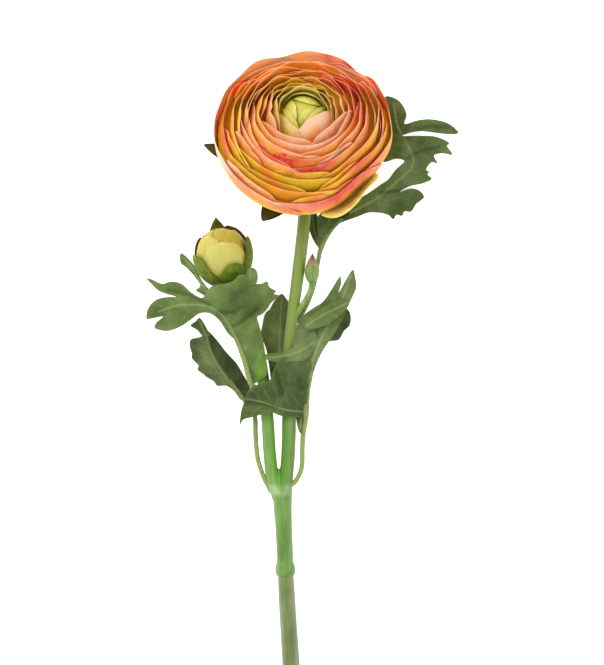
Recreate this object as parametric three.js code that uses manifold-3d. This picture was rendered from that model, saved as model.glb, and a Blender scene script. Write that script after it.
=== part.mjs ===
// A cut ranunculus spray lying on a table: an open bloom, a yellow bud, a small closed bud,
// and lobed leaves on the stems that carry them.
// Millimetres. X is to the right, Y runs from the cut end to the bloom, Z is up from the table,
// and the origin is under the middle of the spray.

import Module from 'manifold-3d';
import * as THREE from 'three';
import { mergeVertices } from 'three/addons/utils/BufferGeometryUtils.js';

const wasm = await Module();
wasm.setup();

// Driving dimensions

const GAP = 0.3;

// How far the foot of each calyx stands out from the petals' skin
const BLOOM_BOWL_LIFT = 2;
const BUD_BOWL_LIFT = 2.6;

// The open bloom is a flattened ball of petals whose axis leans towards +Y
const BLOOM = { centre: [0.6, 122.8, 28.4], leanDeg: 30, radius: 40.5, halfDepth: 24 };
const RIM_RADII = [9.8, 13.4, 16.8, 20, 22.7, 25.2, 28, 32, 36.2, 39.8];
const FAR_SIDE_DROP = [3.7, 5.5, 5.2, 5.4, 4.6, 3.5, 2, 5.4, 7, 0];
// Petals of the inner rings, one by one, and of the outer rings, spread evenly round each
const INNER_PETALS = [
  { ring: 0, angleDeg: 92, halfDeg: 100, lap: 0.3, flat: 0 },
  { ring: 0.5, angleDeg: 55, halfDeg: 72, lap: 0.4, flat: 0.2 },
  { ring: 0.7, angleDeg: 165, halfDeg: 60, lap: -0.4, flat: 0.4 },
  { ring: 1.2, angleDeg: 110, halfDeg: 62, lap: 0.5, flat: 0.3 },
  { ring: 1.1, angleDeg: 22, halfDeg: 48, lap: 0.3, flat: 0.5 },
  { ring: 1.4, angleDeg: 182, halfDeg: 44, lap: -0.5, flat: 0.6 },
  { ring: 2.1, angleDeg: 240, halfDeg: 47, lap: -1.3, flat: 1.5 },
  { ring: 1.9, angleDeg: 320, halfDeg: 41, lap: 1, flat: 2.4 },
  { ring: 2, angleDeg: 40, halfDeg: 56, lap: 0.5, flat: 0.4 },
  { ring: 2, angleDeg: 135, halfDeg: 58, lap: 0.5, flat: 0.4 },
];
const OUTER_RINGS = [
  { ring: 3, count: 4, firstDeg: 280 },
  { ring: 4, count: 4, firstDeg: 225 },
  { ring: 5, count: 4, firstDeg: 262 },
  { ring: 6, count: 5, firstDeg: 300 },
  { ring: 7, count: 5, firstDeg: 250 },
  { ring: 8, count: 5, firstDeg: 318 },
  { ring: 9, count: 5, firstDeg: 286 },
];
const INNER_RIM_HEIGHT = 49.5;
const RIM_DROP = 19;
const INNER_CURL_DEG = 130;
const OUTER_CURL_DEG = 100;
const PETAL_THICKNESS = 0.62;
const PETAL_LAP = 0.8;
const PETAL_FLATNESS = 0.5;
// How far chance shifts a rim down and tilts it, and how far the rim waves
const RIM_SHIFT = 0.6;
const RIM_TILT = 0.5;
const RIM_WAVE = { out: 0.4, up: 0.8 };
// How much of a petal's length its corners lose, and how sharply
const CORNER = { cut: 0.11, power: 6 };
const OUTERMOST_CORNER = { cut: 0.15, power: 3.5 };
// Each petal spreads past its share of the ring, to lie on its neighbours
const PETAL_SPREAD = 1.24;
// At the lower right the outer rings are pressed in, and one more petal hangs open behind them
const PINCH = { angleDeg: 317, power: 11, depth: 5.4, fromHeight: 2, rise: 15 };
const BACK_PETAL = { angleDeg: 307, halfDeg: 25, down: 9.5, out: 9.4 };
// Two petals lean over the heart. Their rims run straight across, at a distance from the axis.
const HEART_EGG = { radius: 13.2, halfHeight: 10.4, height: 38.2, footDeg: 62 };
const COVER_PETALS = [
  { angleDeg: 222, fromAxis: 8.6, halfDeg: 56, lift: 0 },
  { angleDeg: 307, fromAxis: 6.2, halfDeg: 60, lift: 0.5 },
];
const HEART = { radius: 8.4, halfHeight: 7, height: 40.2 };
const HEART_WRAP = { thickness: 1.1, firstLift: -0.9, liftStep: 0.5 };
const HEART_WRAPS = [
  { angleDeg: 300, reachDeg: 170, halfWidthDeg: 50 },
  { angleDeg: 190, reachDeg: 158, halfWidthDeg: 60 },
  { angleDeg: 320, reachDeg: 150, halfWidthDeg: 62 },
  { angleDeg: 80, reachDeg: 134, halfWidthDeg: 66 },
];
const SEPALS = [
  { angleDeg: 178, reachDeg: 70, halfWidthDeg: 9, flare: 6 },
  { angleDeg: 242, reachDeg: 58, halfWidthDeg: 10, flare: 5 },
  { angleDeg: 300, reachDeg: 59, halfWidthDeg: 10, flare: 5 },
  { angleDeg: 46, reachDeg: 33, halfWidthDeg: 10, flare: 0.3 },
  { angleDeg: 130, reachDeg: 33, halfWidthDeg: 10, flare: 0.3 },
];

// The yellow bud is an egg in a cup of sepals, and its axis runs up the picture and to the left
const BUD = {
  centre: [-36.3, 68.5, 14.8], axis: [-0.16, 0.95, 0.24], radius: 11.2, halfLength: 12.8,
};
const BUD_PETALS = [
  { angleDeg: 100, reachDeg: 148, halfWidthDeg: 72, lift: -0.1 },
  { angleDeg: 335, reachDeg: 152, halfWidthDeg: 60, lift: -0.35 },
  { angleDeg: 225, reachDeg: 146, halfWidthDeg: 54, lift: 0 },
  { angleDeg: 275, reachDeg: 127, halfWidthDeg: 58, lift: 0.35 },
];
const BUD_SEPALS = [
  { angleDeg: 94, reachDeg: 143, halfWidthDeg: 31, flare: 4.4, point: 0.85 },
  { angleDeg: 58, reachDeg: 140, halfWidthDeg: 46, flare: 0.3, point: 0.4 },
  { angleDeg: 140, reachDeg: 121, halfWidthDeg: 26, flare: 0.6, point: 0.5 },
  { angleDeg: 350, reachDeg: 118, halfWidthDeg: 34, flare: 0.8, point: 0.42 },
  { angleDeg: 207, reachDeg: 103, halfWidthDeg: 37, flare: 0.4, point: 0.27 },
  { angleDeg: 291, reachDeg: 84, halfWidthDeg: 32, flare: 0.5, point: 0.4 },
];

// The small closed bud
const SMALL_BUD = {
  centre: [4.4, 61.5, 14],
  axis: [0.02, 0.99, 0.12],
  section: [
    [0, -6], [1.8, -5.2], [3, -3], [3.4, 0], [2.9, 2.6], [1.8, 5], [0.8, 7], [0, 8],
  ],
};

// Stem routes: x, y, z of the centre line and the stem's radius there
const LOWER_STEM = [
  [-2.7, -160.8, 4.1, 4.1], [-5.3, -117.5, 5.3, 4], [-6.5, -98.8, 6, 3.8], [-7.5, -81.1, 6.8, 3.65],
  [-7.6, -78.1, 6.9, 3.6],
];
const JOINT_RING = [
  [-7.7, -77.7, 6.95, 4.1], [-7.8, -75.5, 7.05, 4.6], [-7.9, -73.2, 7.15, 4.4],
  [-8, -71, 7.25, 3.7],
];
const BLOOM_STEM = [
  [-7.9, -72.5, 7.2, 3.7], [-8, -67.9, 7.4, 3.75], [-8.6, -54.3, 8.1, 3.85], [-9, -44.2, 8.8, 4.2],
  [-7.6, -33.8, 9.4, 3.3], [-6.6, -23.3, 10, 3.2], [-6.1, -5.6, 11, 3.2], [-5.7, 28.6, 11.6, 2.8],
  [-4.6, 40.8, 11.6, 2.6], [-2.1, 59.5, 11, 2.85], [0.9, 86.3, 9.2, 3], [1, 97, 6.6, 3],
  [0.6, 104, 4.4, 3], [0.3, 109, 4.6, 3], [0.2, 112, 7.5, 3],
];
const BUD_STEM = [
  [-9.4, -44.2, 8.8, 3.6], [-13.4, -33.8, 9.2, 3], [-14.8, -23.3, 9.8, 2.9], [-16, -5.6, 11, 2.9],
  [-18, 12.6, 12, 2.8], [-20.7, 27.6, 12.6, 2.7], [-24.8, 39, 12.6, 2.5], [-29.3, 48.1, 11.8, 2.4],
  [-34, 56.5, 11.2, 2.3],
];
const SMALL_BUD_STALK = [
  [-3.6, 40, 12, 1.2], [-1.2, 44, 13, 1.3], [2.4, 49.5, 13.6, 1.25], [4.2, 54, 13.6, 1.3],
  [4.4, 58, 13.8, 1.4],
];

// Leaf stalks
const UPPER_RIGHT_STALK = [
  [-2.5, 38, 10, 1], [1, 44, 8.6, 1], [5, 54, 7.6, 1], [7, 65, 7.8, 1], [8.6, 72, 8.8, 1.1],
  [13.5, 80.5, 8.4, 0.9], [21, 87.5, 8, 0.7],
];
const OVER_BUD_STALK = [
  [-17.3, 1.5, 13, 1], [-20.5, 6.5, 14.6, 1.2], [-23.5, 10.5, 14.4, 1.3], [-26.5, 21, 16, 1.2],
  [-31, 32, 18.4, 1.1], [-36.5, 40.5, 20.6, 0.8],
];
const OVER_BUD_BACK_RIB = [
  [-40, 43.5, 23.4, 0.8], [-41.6, 47.5, 21.4, 0.8], [-44.8, 54, 15.2, 0.7], [-49.5, 62, 10, 0.6],
];
const LOW_LEFT_STALK = [
  [-14.2, -39.4, 9, 1.1], [-17.5, -33, 9, 1.1], [-20.4, -24, 9.4, 1.1], [-21.4, -13, 9.4, 1.1],
  [-21.8, -5, 9.2, 1.1], [-24.6, 0, 9.2, 1.1], [-27.5, 4, 9.4, 1], [-33, 12, 8.8, 0.8],
];
const LOW_LEFT_CURL_RIB = [
  [-43.2, 31, 7.8, 0.7], [-43.8, 34, 8.2, 0.7], [-45.2, 37.5, 9.8, 0.5],
];
const CENTRE_BACK_STALK = [
  [-6.6, -3, 9.5, 1.2], [-8.2, 2.5, 7.4, 1.2], [-9.8, 8, 6.6, 1.1], [-10.2, 16, 6, 0.8],
];
const RIGHT_STALK = [
  [-6, -36.5, 9.6, 1.1], [-3.6, -35, 9.8, 1.1], [-0.5, -29, 10.4, 1.1], [0, -19.5, 11, 1.1],
  [0.4, -12, 11.4, 1.2], [1.4, -5, 11.8, 1.4], [1.8, 2.5, 12.6, 1.4], [2.6, 10, 13.6, 1.3],
  [5.2, 21.5, 14.2, 1.2], [9, 32, 15.4, 0.9],
];

// Leaf blades: the outline and the midrib as x, y, and the height of the blade at points on it.
// A positive fold lets the blade fall away from its midrib, and a negative one lets it rise.
const LEAF_THICKNESS = 0.7;
const LEAF_STEP = 8;
const RIPPLE = 0.5;
const LEAF_FOLD = -0.1;
const FOLD_REACH = 8;
const UPPER_RIGHT_LEAF = {
  blade: {
    outline: [
      [7.5, 71.5], [8, 75.5], [9.5, 79.5], [12.5, 84.5], [18, 89.5], [25, 94], [31, 97.5],
      [36, 101], [39, 103], [42.5, 107.5], [46.5, 111.5], [42.5, 112.5], [37.5, 111], [33.5, 113],
      [31, 118], [31, 124], [33, 131], [35.5, 137], [38, 141], [41.5, 140.5], [45, 138],
      [47.5, 132.5], [46.5, 128.5], [52.5, 130], [58, 130.5], [65, 129.5], [69.5, 127.5],
      [71, 125], [70.5, 124], [62.5, 124], [54.5, 125], [50, 124.5], [45.5, 123], [53.5, 123],
      [61, 122.5], [67, 119.5], [66, 118.5], [68.5, 114.5], [63.5, 115], [60, 114], [61.5, 110.5],
      [59, 111], [56.5, 107.5], [58, 106.5], [57, 105.5], [59, 103.5], [55.5, 101.5], [49, 100],
      [44.5, 97.5], [49.5, 99], [53.5, 98], [55.5, 95], [52, 92], [49.5, 88.5], [46.5, 88.5],
      [45.5, 86.5], [43, 87], [41.5, 85], [39, 87], [30.5, 88], [25, 86], [18, 83.5], [12.5, 81],
      [10, 75.5], [9, 71.5],
    ],
    rib: [
      [8.5, 72], [13.5, 81], [21.5, 87.5], [33, 94], [43.5, 102.5], [50.5, 110.5], [48, 118.5],
      [43.5, 127.5], [41.5, 137.5],
    ],
    heights: [
      [8.5, 72, 9], [19.5, 85.5, 8.5], [31.5, 92, 8], [41.5, 86.5, 4], [54.5, 95, 5],
      [45.5, 102.5, 8], [58.5, 103.5, 5.5], [47, 111.5, 9.5], [68, 114.5, 6], [52.5, 118, 9],
      [71, 125, 11], [58, 127.5, 10], [46, 134.5, 8.5], [38, 140, 6], [32.5, 123, 5],
      [37.5, 112, 6.5],
    ],
  },
  base_lobe: {
    outline: [
      [8.5, 71], [5.5, 74.5], [3, 80.5], [2, 86.5], [4, 88.5], [6.5, 87.5], [7.5, 82], [9.5, 72.5],
    ],
    rib: [
      [8, 72], [5.5, 79.5], [4.5, 86.5],
    ],
    heights: [
      [8.5, 71, 8.6], [5, 80, 5], [4.5, 87.5, 4],
    ],
  },
};

const OVER_BUD_LEAF = {
  blade: {
    outline: [
      [-24.5, 10], [-26.5, 19], [-28.5, 24.5], [-30.5, 29.5], [-34, 33], [-37.5, 38.5], [-42, 42],
      [-46.5, 42], [-51, 39], [-55.5, 36], [-61, 34], [-65.5, 34.5], [-67.5, 35.5], [-66.5, 38],
      [-63.5, 40.5], [-69.5, 39.5], [-71, 39.5], [-70.5, 44], [-67, 48], [-61, 49.5],
      [-57.5, 49.5], [-65, 52], [-68.5, 55], [-71, 58], [-68.5, 57.5], [-64, 55.5], [-59.5, 56.5],
      [-55, 55.5], [-50.5, 51.5], [-45.5, 49], [-43.5, 52], [-40.5, 54.5], [-34.5, 55.5],
      [-31, 57], [-28.5, 59.5], [-25.5, 59], [-24, 56], [-18.5, 55.5], [-16, 56.5], [-15, 54],
      [-12, 52], [-13, 51], [-10.5, 50], [-14, 47], [-16, 44], [-18.5, 41.5], [-21, 40.5],
      [-23, 37.5], [-24.5, 33.5], [-23.5, 27.5], [-21.5, 19.5], [-20, 11],
    ],
    rib: [
      [-23.5, 11.5], [-27, 23], [-31.5, 33], [-36, 40.5], [-41.5, 44.5], [-48.5, 46],
      [-57.5, 45.5], [-65, 43],
    ],
    heights: [
      [-23.5, 11, 13.5], [-28.5, 25.5, 16.5], [-34, 36.5, 19.5], [-41, 45.5, 23],
      [-29.5, 57.5, 27], [-36.5, 52.5, 26.5], [-40.5, 54, 26.5], [-51, 48, 21], [-71, 57.5, 12],
      [-71, 40, 9], [-66.5, 35, 9], [-55.5, 39, 14.5], [-62, 52.5, 16], [-10.5, 50, 17.5],
      [-18.5, 42, 15.5], [-16.5, 55.5, 20.5], [-24, 48, 22.5],
    ],
  },
  back_lobe: {
    outline: [
      [-39.5, 47], [-43.5, 49.5], [-47, 51.5], [-48.5, 52.5], [-46.5, 54.5], [-48.5, 58],
      [-53, 63], [-55.5, 65], [-55.5, 69.5], [-51, 66], [-48.3, 62], [-45.8, 57], [-41.5, 52],
      [-37.5, 49],
    ],
    rib: [
      [-40, 48], [-45.5, 55], [-50.5, 63], [-54.5, 67.5],
    ],
    heights: [
      [-39, 47.5, 22.6], [-43, 51.5, 16.8], [-47.5, 58, 10.6], [-55.5, 68.5, 6.5],
    ],
  },
  ear_lobe: {
    outline: [
      [-26.5, 55.5], [-26, 59.5], [-24, 62.5], [-22, 62.5], [-20.5, 60.5], [-21, 55.5],
    ],
    rib: [
      [-24, 56], [-23.5, 62],
    ],
    heights: [
      [-24, 55.5, 24], [-23.5, 59, 22.5], [-23, 62.5, 22],
    ],
  },
};

const LOW_LEFT_LEAF = {
  blade: {
    outline: [
      [-25.5, 1.5], [-28, 2.5], [-31.5, 7], [-35, 9], [-39, 9], [-40.5, 11], [-44, 13], [-45, 14],
      [-48, 16.5], [-47.5, 18], [-50.5, 21.5], [-50.5, 23.5], [-51.5, 27.5], [-51, 30],
      [-46, 31.5], [-43.5, 34], [-40.5, 31.5], [-35, 24.5], [-30, 19], [-26.5, 13], [-24, 8.5],
      [-24, 3],
    ],
    rib: [
      [-25.5, 2.5], [-30, 6.5], [-35, 13.5], [-40, 21.5], [-42.5, 27.5], [-43.5, 32.5],
    ],
    heights: [
      [-25.5, 3, 9.5], [-33, 11.5, 8.5], [-41, 24.5, 8], [-43.5, 33, 8], [-51, 28.5, 4.5],
      [-48, 18, 4], [-39, 10, 4.5], [-36.5, 27, 4.5], [-29.5, 18, 4.2], [-24.5, 9, 5.5],
    ],
  },
  curl: {
    outline: [
      [-45, 31.5], [-48, 34.5], [-51, 36.5], [-48.5, 38.5], [-47, 40], [-45.5, 38.5], [-44, 35.5],
      [-42, 32],
    ],
    rib: [
      [-44, 32], [-45.5, 35.5], [-47, 39],
    ],
    heights: [
      [-44, 31.5, 7.8], [-50.5, 36.5, 9], [-46.5, 40, 12], [-44.5, 35.5, 9.5],
    ],
  },
};

const CENTRE_BACK_LEAF = {
  blade: {
    outline: [
      [-9.5, 51], [-13, 47.5], [-15, 44], [-17, 42], [-18.5, 35.5], [-19, 32.5], [-16.5, 25.5],
      [-15, 16.5], [-14, 11], [-10.5, 6.5], [-7, 8], [-5, 15.5], [-3.5, 25.5], [-3, 34.5],
      [-4.5, 44], [-7.5, 49],
    ],
    rib: [
      [-10, 7], [-10, 16.5], [-10.5, 27.5], [-10, 39], [-9.5, 48],
    ],
    heights: [
      [-10, 7, 6.5], [-10, 18.5, 5.5], [-18, 32, 3.5], [-9.5, 50, 3.2], [-15.5, 42.5, 3],
      [-4, 34.5, 3.2], [-10, 32, 5],
    ],
  },
};

const RIGHT_LEAF = {
  blade: {
    outline: [
      [0, -4], [0.5, 2.5], [1.5, 11.5], [1, 21], [-0.5, 27], [0, 33.5], [1.5, 39], [5, 44.5],
      [9, 47], [13, 52.5], [15, 57], [17.5, 58.5], [17.5, 55.5], [16.5, 51.5], [20, 58.5],
      [21.5, 61.5], [23.5, 61.5], [24, 57.5], [24.5, 54], [23, 50], [20.5, 45], [18.5, 40],
      [15, 33.5], [9, 24.5], [5.5, 16.5], [3.5, 7], [2, -4],
    ],
    rib: [
      [1, -3], [2.5, 9.5], [5, 21.5], [9.5, 32.5], [14.5, 42.5], [18.5, 50], [22, 59.5],
    ],
    heights: [
      [1, -4, 11.5], [2.5, 9.5, 13.5], [2.5, 36.5, 12.5], [10, 48, 15], [17, 57.5, 19],
      [23, 61, 21], [23.5, 50.5, 18], [12.5, 36.5, 16], [7, 25.5, 15], [18, 40, 15.5],
    ],
  },
  dark_lobe: {
    outline: [
      [14.5, 45.5], [17.5, 44.5], [20.5, 44], [22, 41], [21.5, 36.5], [19, 34], [16.5, 30],
      [11.5, 29], [8, 24.5], [5, 18], [3, 19], [6, 29], [10.5, 38],
    ],
    rib: [
      [4.5, 20], [10, 31.5], [17, 39],
    ],
    heights: [
      [4, 19, 13.8], [10, 31.5, 12], [19.5, 38, 8.5], [21.5, 42.5, 9], [15, 44.5, 11],
    ],
  },
  folded_lobe: {
    outline: [
      [1.5, 38], [6, 42.5], [12.5, 46.5], [18, 48], [21.5, 48.5], [21, 45.5], [17, 41], [10, 36.5],
      [4.5, 35], [1.5, 35.5],
    ],
    rib: [
      [2, 36.5], [8, 40.5], [15, 44], [21, 47],
    ],
    heights: [
      [1.5, 36.5, 18], [10, 41.5, 20.5], [18, 45.5, 20], [21.5, 47, 18],
    ],
  },
  front_blade: {
    outline: [
      [-28.5, -9], [-28, -3], [-26.5, 2], [-24.5, 7], [-22, 9], [-18, 10.5], [-15, 11.5],
      [-13, 16.5], [-10, 21.5], [-5.5, 22], [0, 21.5], [3, 19.5], [3, 11.5], [2, 2.5], [2, -4.5],
      [-5.5, -5], [-10, -4.5], [-14.5, -3], [-18.5, -4], [-24, -5.5], [-27, -6.5],
    ],
    rib: [
      [1.5, -1], [-5, 1.5], [-12.5, 4], [-20, 1.5], [-27, -6.5],
    ],
    heights: [
      [-28.5, -8.5, 12], [-26, 2, 15.5], [-18.5, 9.5, 18], [-10, 21, 18], [-1, 20, 16.5],
      [-5.5, 5, 19.5], [-15.5, 0.5, 18.5], [1.5, -3, 12.3], [2.5, 9.5, 14], [-5.5, -4.5, 17],
      [-18.5, -3.5, 17],
    ],
  },
  upper_lobe: {
    outline: [
      [-18, 22], [-16, 23.5], [-8, 24.5], [-3, 27.5], [1.5, 31], [5, 34], [7, 31], [5, 25.5],
      [1.5, 21], [-5, 20], [-12, 20],
    ],
    rib: [
      [5.5, 29], [-1, 25], [-8.5, 22.5], [-16, 22],
    ],
    heights: [
      [-17.5, 22, 18.5], [-8, 23, 18.3], [-1, 25.5, 17.3], [5.5, 29, 15],
    ],
  },
  hanging_tip: {
    outline: [
      [-2.5, -0.5], [-2.5, -8.5], [-1, -12.5], [0, -9], [1, -1],
    ],
    rib: [
      [-0.5, -1], [-1, -11],
    ],
    heights: [
      [-0.5, -1, 12], [-1, -12, 13.5],
    ],
  },
};

// Closed shapes from points

// A tube of varying radius along a smooth route, closed by a flat cap at each end
function taperedTube(route, { sides = 8, steps = 1, grow = 0 } = {}) {
  const curve = new THREE.CatmullRomCurve3(route.map(([x, y, z]) => new THREE.Vector3(x, y, z)));
  const rings = (route.length - 1) * steps;
  const positions = [];
  const index = [];
  const up = new THREE.Vector3(0, 0, 1);
  for (let i = 0; i <= rings; i += 1) {
    const t = i / rings;
    const centre = curve.getPoint(t);
    const along = curve.getTangent(t);
    const across = new THREE.Vector3().crossVectors(along, up).normalize();
    const above = new THREE.Vector3().crossVectors(across, along).normalize();
    const radius = radiusAt(route, t) + grow;
    for (let k = 0; k < sides; k += 1) {
      const angle = (k / sides) * Math.PI * 2;
      const point = centre.clone().addScaledVector(across, radius * Math.cos(angle));
      positions.push(...point.addScaledVector(above, radius * Math.sin(angle)).toArray());
    }
  }
  for (let i = 0; i < rings; i += 1) {
    for (let k = 0; k < sides; k += 1) {
      const a = i * sides + k;
      const b = i * sides + ((k + 1) % sides);
      index.push(a, a + sides, b, b, a + sides, b + sides);
    }
  }
  const first = positions.length / 3;
  positions.push(...curve.getPoint(0).toArray(), ...curve.getPoint(1).toArray());
  for (let k = 0; k < sides; k += 1) {
    const next = (k + 1) % sides;
    index.push(first, k, next);
    index.push(first + 1, rings * sides + next, rings * sides + k);
  }
  return outward(indexed(positions, index));
}

function radiusAt(route, t) {
  const place = t * (route.length - 1);
  const before = Math.min(Math.floor(place), route.length - 2);
  return THREE.MathUtils.lerp(route[before][3], route[before + 1][3], place - before);
}

function indexed(positions, index) {
  const geometry = new THREE.BufferGeometry();
  geometry.setAttribute('position', new THREE.Float32BufferAttribute(positions, 3));
  geometry.setIndex(index);
  return geometry;
}

// Turns every face of a closed shape round if its volume comes out negative
function outward(geometry) {
  const at = (i) => new THREE.Vector3().fromBufferAttribute(geometry.attributes.position, i);
  const index = geometry.index.array;
  let volume = 0;
  for (let i = 0; i < index.length; i += 3) {
    volume += at(index[i]).dot(at(index[i + 1]).cross(at(index[i + 2])));
  }
  if (volume < 0) {
    for (let i = 0; i < index.length; i += 3) {
      [index[i + 1], index[i + 2]] = [index[i + 2], index[i + 1]];
    }
  }
  return geometry;
}

// A thin blade: the same triangles on both faces of a sheet, with its edge closed.
// The thickness may be a number or a function of the point's place in the list.
function blade({ points, triangles }, thickness) {
  const normals = points.map(() => new THREE.Vector3());
  const edges = new Map();
  for (const [a, b, c] of triangles) {
    const side = points[b].clone().sub(points[a]);
    const normal = side.cross(points[c].clone().sub(points[a]));
    [a, b, c].forEach((k) => normals[k].add(normal));
    for (const [from, to] of [[a, b], [b, c], [c, a]]) {
      if (!edges.delete(`${to} ${from}`)) edges.set(`${from} ${to}`, [from, to]);
    }
  }
  const positions = [];
  for (const side of [0.5, -0.5]) {
    points.forEach((point, k) => {
      const half = side * (typeof thickness === 'number' ? thickness : thickness(k));
      const normal = normals[k].clone().normalize();
      positions.push(...point.clone().addScaledVector(normal, half).toArray());
    });
  }
  const below = points.length;
  const index = [];
  for (const [a, b, c] of triangles) index.push(a, b, c, a + below, c + below, b + below);
  for (const [a, b] of edges.values()) index.push(b, a, a + below, b, a + below, b + below);
  return outward(indexed(positions, index));
}

// A sheet laid out by a formula of u, across from -1 to 1, and v, along from 0 to 1
function gridSheet(across, along, place) {
  const points = [];
  const triangles = [];
  for (let j = 0; j <= along; j += 1) {
    for (let i = 0; i <= across; i += 1) points.push(place((2 * i) / across - 1, j / along));
  }
  for (let j = 0; j < along; j += 1) {
    for (let i = 0; i < across; i += 1) {
      const a = j * (across + 1) + i;
      const b = a + across + 1;
      triangles.push([a, a + 1, b + 1], [a, b + 1, b]);
    }
  }
  return { points, triangles };
}

// Joining and cutting

function toSolid(geometry) {
  const bare = geometry.clone();
  bare.deleteAttribute('normal');
  bare.deleteAttribute('uv');
  const merged = mergeVertices(bare, 1e-4);
  return new wasm.Manifold(new wasm.Mesh({
    numProp: 3,
    vertProperties: Float32Array.from(merged.attributes.position.array),
    triVerts: Uint32Array.from(merged.index.array),
  }));
}

// The largest body of a solid: a sealed hollow is filled and a loose scrap is dropped
function mainBody(solid) {
  const bodies = solid.decompose();
  return bodies.reduce((best, body) => (body.volume() > best.volume() ? body : best));
}

function fuse(geometries, cuts = []) {
  let whole = toSolid(geometries[0]);
  for (const geometry of geometries.slice(1)) whole = whole.add(toSolid(geometry));
  for (const cut of cuts) whole = whole.subtract(toSolid(cut));
  const mesh = mainBody(whole).getMesh();
  return indexed([...mesh.vertProperties], [...mesh.triVerts]);
}

function named(name, geometry, color, roughness) {
  geometry.computeVertexNormals();
  const material = new THREE.MeshStandardMaterial({ color, roughness, metalness: 0 });
  const mesh = new THREE.Mesh(geometry, material);
  mesh.name = name;
  return mesh;
}

// Balls and eggs wrapped in petals or sepals

const radians = THREE.MathUtils.degToRad;
const degrees = THREE.MathUtils.radToDeg;

// A right-handed frame whose third axis points along the given direction
function frameAlong(axis) {
  const along = new THREE.Vector3(...axis).normalize();
  const right = new THREE.Vector3(1, 0, 0).addScaledVector(along, -along.x).normalize();
  const over = new THREE.Vector3().crossVectors(along, right).normalize();
  return { right, over, along };
}

// Puts a point given in an egg's own frame, with its third axis along the egg, into the spray.
// Some eggs are bent in their own frame first.
function egg({ centre, axis, radius, halfLength, bend = (...point) => point }) {
  const { right, over, along } = frameAlong(axis);
  const place = (...point) => {
    const [x, y, z] = bend(...point);
    return new THREE.Vector3(...centre)
      .addScaledVector(right, x).addScaledVector(over, y).addScaledVector(along, z);
  };
  // The point on the egg, a lift above its skin, at an angle from its foot and off a meridian
  const onSkin = (meridian, fromFoot, off, lift) => {
    const x = Math.sin(fromFoot) * Math.cos(off);
    const y = Math.sin(off);
    const z = -Math.cos(fromFoot) * Math.cos(off);
    const turned = [
      x * Math.cos(meridian) - y * Math.sin(meridian),
      x * Math.sin(meridian) + y * Math.cos(meridian),
    ];
    return place(turned[0] * (radius + lift), turned[1] * (radius + lift), z * (halfLength + lift));
  };
  return { place, onSkin };
}

// Turns a shape made round the Y axis to stand along the egg's axis, at its centre
function putOnAxis(geometry, shape) {
  const { place } = egg(shape);
  geometry.rotateX(Math.PI / 2);
  const positions = geometry.attributes.position;
  for (let k = 0; k < positions.count; k += 1) {
    const point = place(positions.getX(k), positions.getY(k), positions.getZ(k));
    positions.setXYZ(k, ...point.toArray());
  }
  return geometry;
}

// A ball of the egg's own shape, as far out as the lift says
function eggBody(shape, lift, sides, rings) {
  const ball = new THREE.SphereGeometry(1, sides, rings);
  ball.scale(shape.radius + lift, shape.halfLength + lift, shape.radius + lift);
  return putOnAxis(ball, shape);
}

// A solid turned from a half section, given as distance from the axis and height along it
function turned(shape, section, sides) {
  const solid = new THREE.LatheGeometry(section.map(([r, h]) => new THREE.Vector2(r, h)), sides);
  solid.deleteAttribute('normal');
  solid.deleteAttribute('uv');
  return outward(mergeVertices(putOnAxis(solid, shape), 1e-4));
}

// A petal or sepal that hugs an egg from its foot up to a rounded or pointed tip
function hugging(shape, petal) {
  const { angleDeg, reachDeg, halfWidthDeg, startDeg, flare = 0, lift, point = 0.75 } = petal;
  const { onSkin } = egg(shape);
  return (u, v) => {
    const fromFoot = radians(startDeg + (reachDeg - startDeg) * v);
    const width = Math.sin(Math.PI * (0.14 + 0.86 * v) ** 0.8) ** point;
    const off = radians(halfWidthDeg) * u * Math.max(width, 0.08);
    return onSkin(radians(angleDeg), fromFoot, off, lift + flare * v * v + 0.15 * u);
  };
}

// The bloom

const bloomLean = radians(BLOOM.leanDeg);
const bloomAxis = [0, Math.sin(bloomLean), Math.cos(bloomLean)];
const bloomEgg = {
  centre: BLOOM.centre,
  axis: bloomAxis,
  radius: BLOOM.radius,
  halfLength: BLOOM.halfDepth,
  bend: pressedIn,
};

// A point of the bloom's own frame, moved towards the axis on the side that is pressed in
function pressedIn(x, y, z) {
  const radius = Math.hypot(x, y);
  const high = THREE.MathUtils.clamp((z + BLOOM.halfDepth - PINCH.fromHeight) / PINCH.rise, 0, 1);
  const near = nearAngle(Math.atan2(y, x), PINCH.angleDeg, PINCH.power);
  const depth = PINCH.depth * near * high ** 2 * (radius / BLOOM.radius) ** 3;
  const keep = 1 - depth / Math.max(radius, 1);
  return [x * keep, y * keep, z];
}

// Side view of a ring of petals: how far out and how high above the bloom's foot a petal is.
// Rings run from 0 at the heart to 1 at the outside, and s from 0 at the foot to 1 at the rim.
function petalProfile(ring, s, drop = 0) {
  const rimRadius = alongRings(RIM_RADII, ring);
  const rimHeight = INNER_RIM_HEIGHT - RIM_DROP * ring ** 2.2 - drop;
  const footHeight = 8 * (1 - ring);
  const curl = radians(THREE.MathUtils.lerp(INNER_CURL_DEG, OUTER_CURL_DEG, ring));
  const bulge = rimRadius / Math.sin(curl);
  const rise = (rimHeight - footHeight) / (1 - Math.cos(curl));
  return [bulge * Math.sin(curl * s), footHeight + rise * (1 - Math.cos(curl * s))];
}

// A value listed ring by ring, at a place between the first ring, 0, and the last one, 1.
function alongRings(values, ring) {
  const place = Math.min(ring, 1) * (values.length - 1);
  const before = Math.min(Math.floor(place), values.length - 2);
  return THREE.MathUtils.lerp(values[before], values[before + 1], place - before);
}

function bloomPlace(radius, angle, height) {
  return egg(bloomEgg).place(
    radius * Math.cos(angle), radius * Math.sin(angle), height - BLOOM.halfDepth,
  );
}

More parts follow.
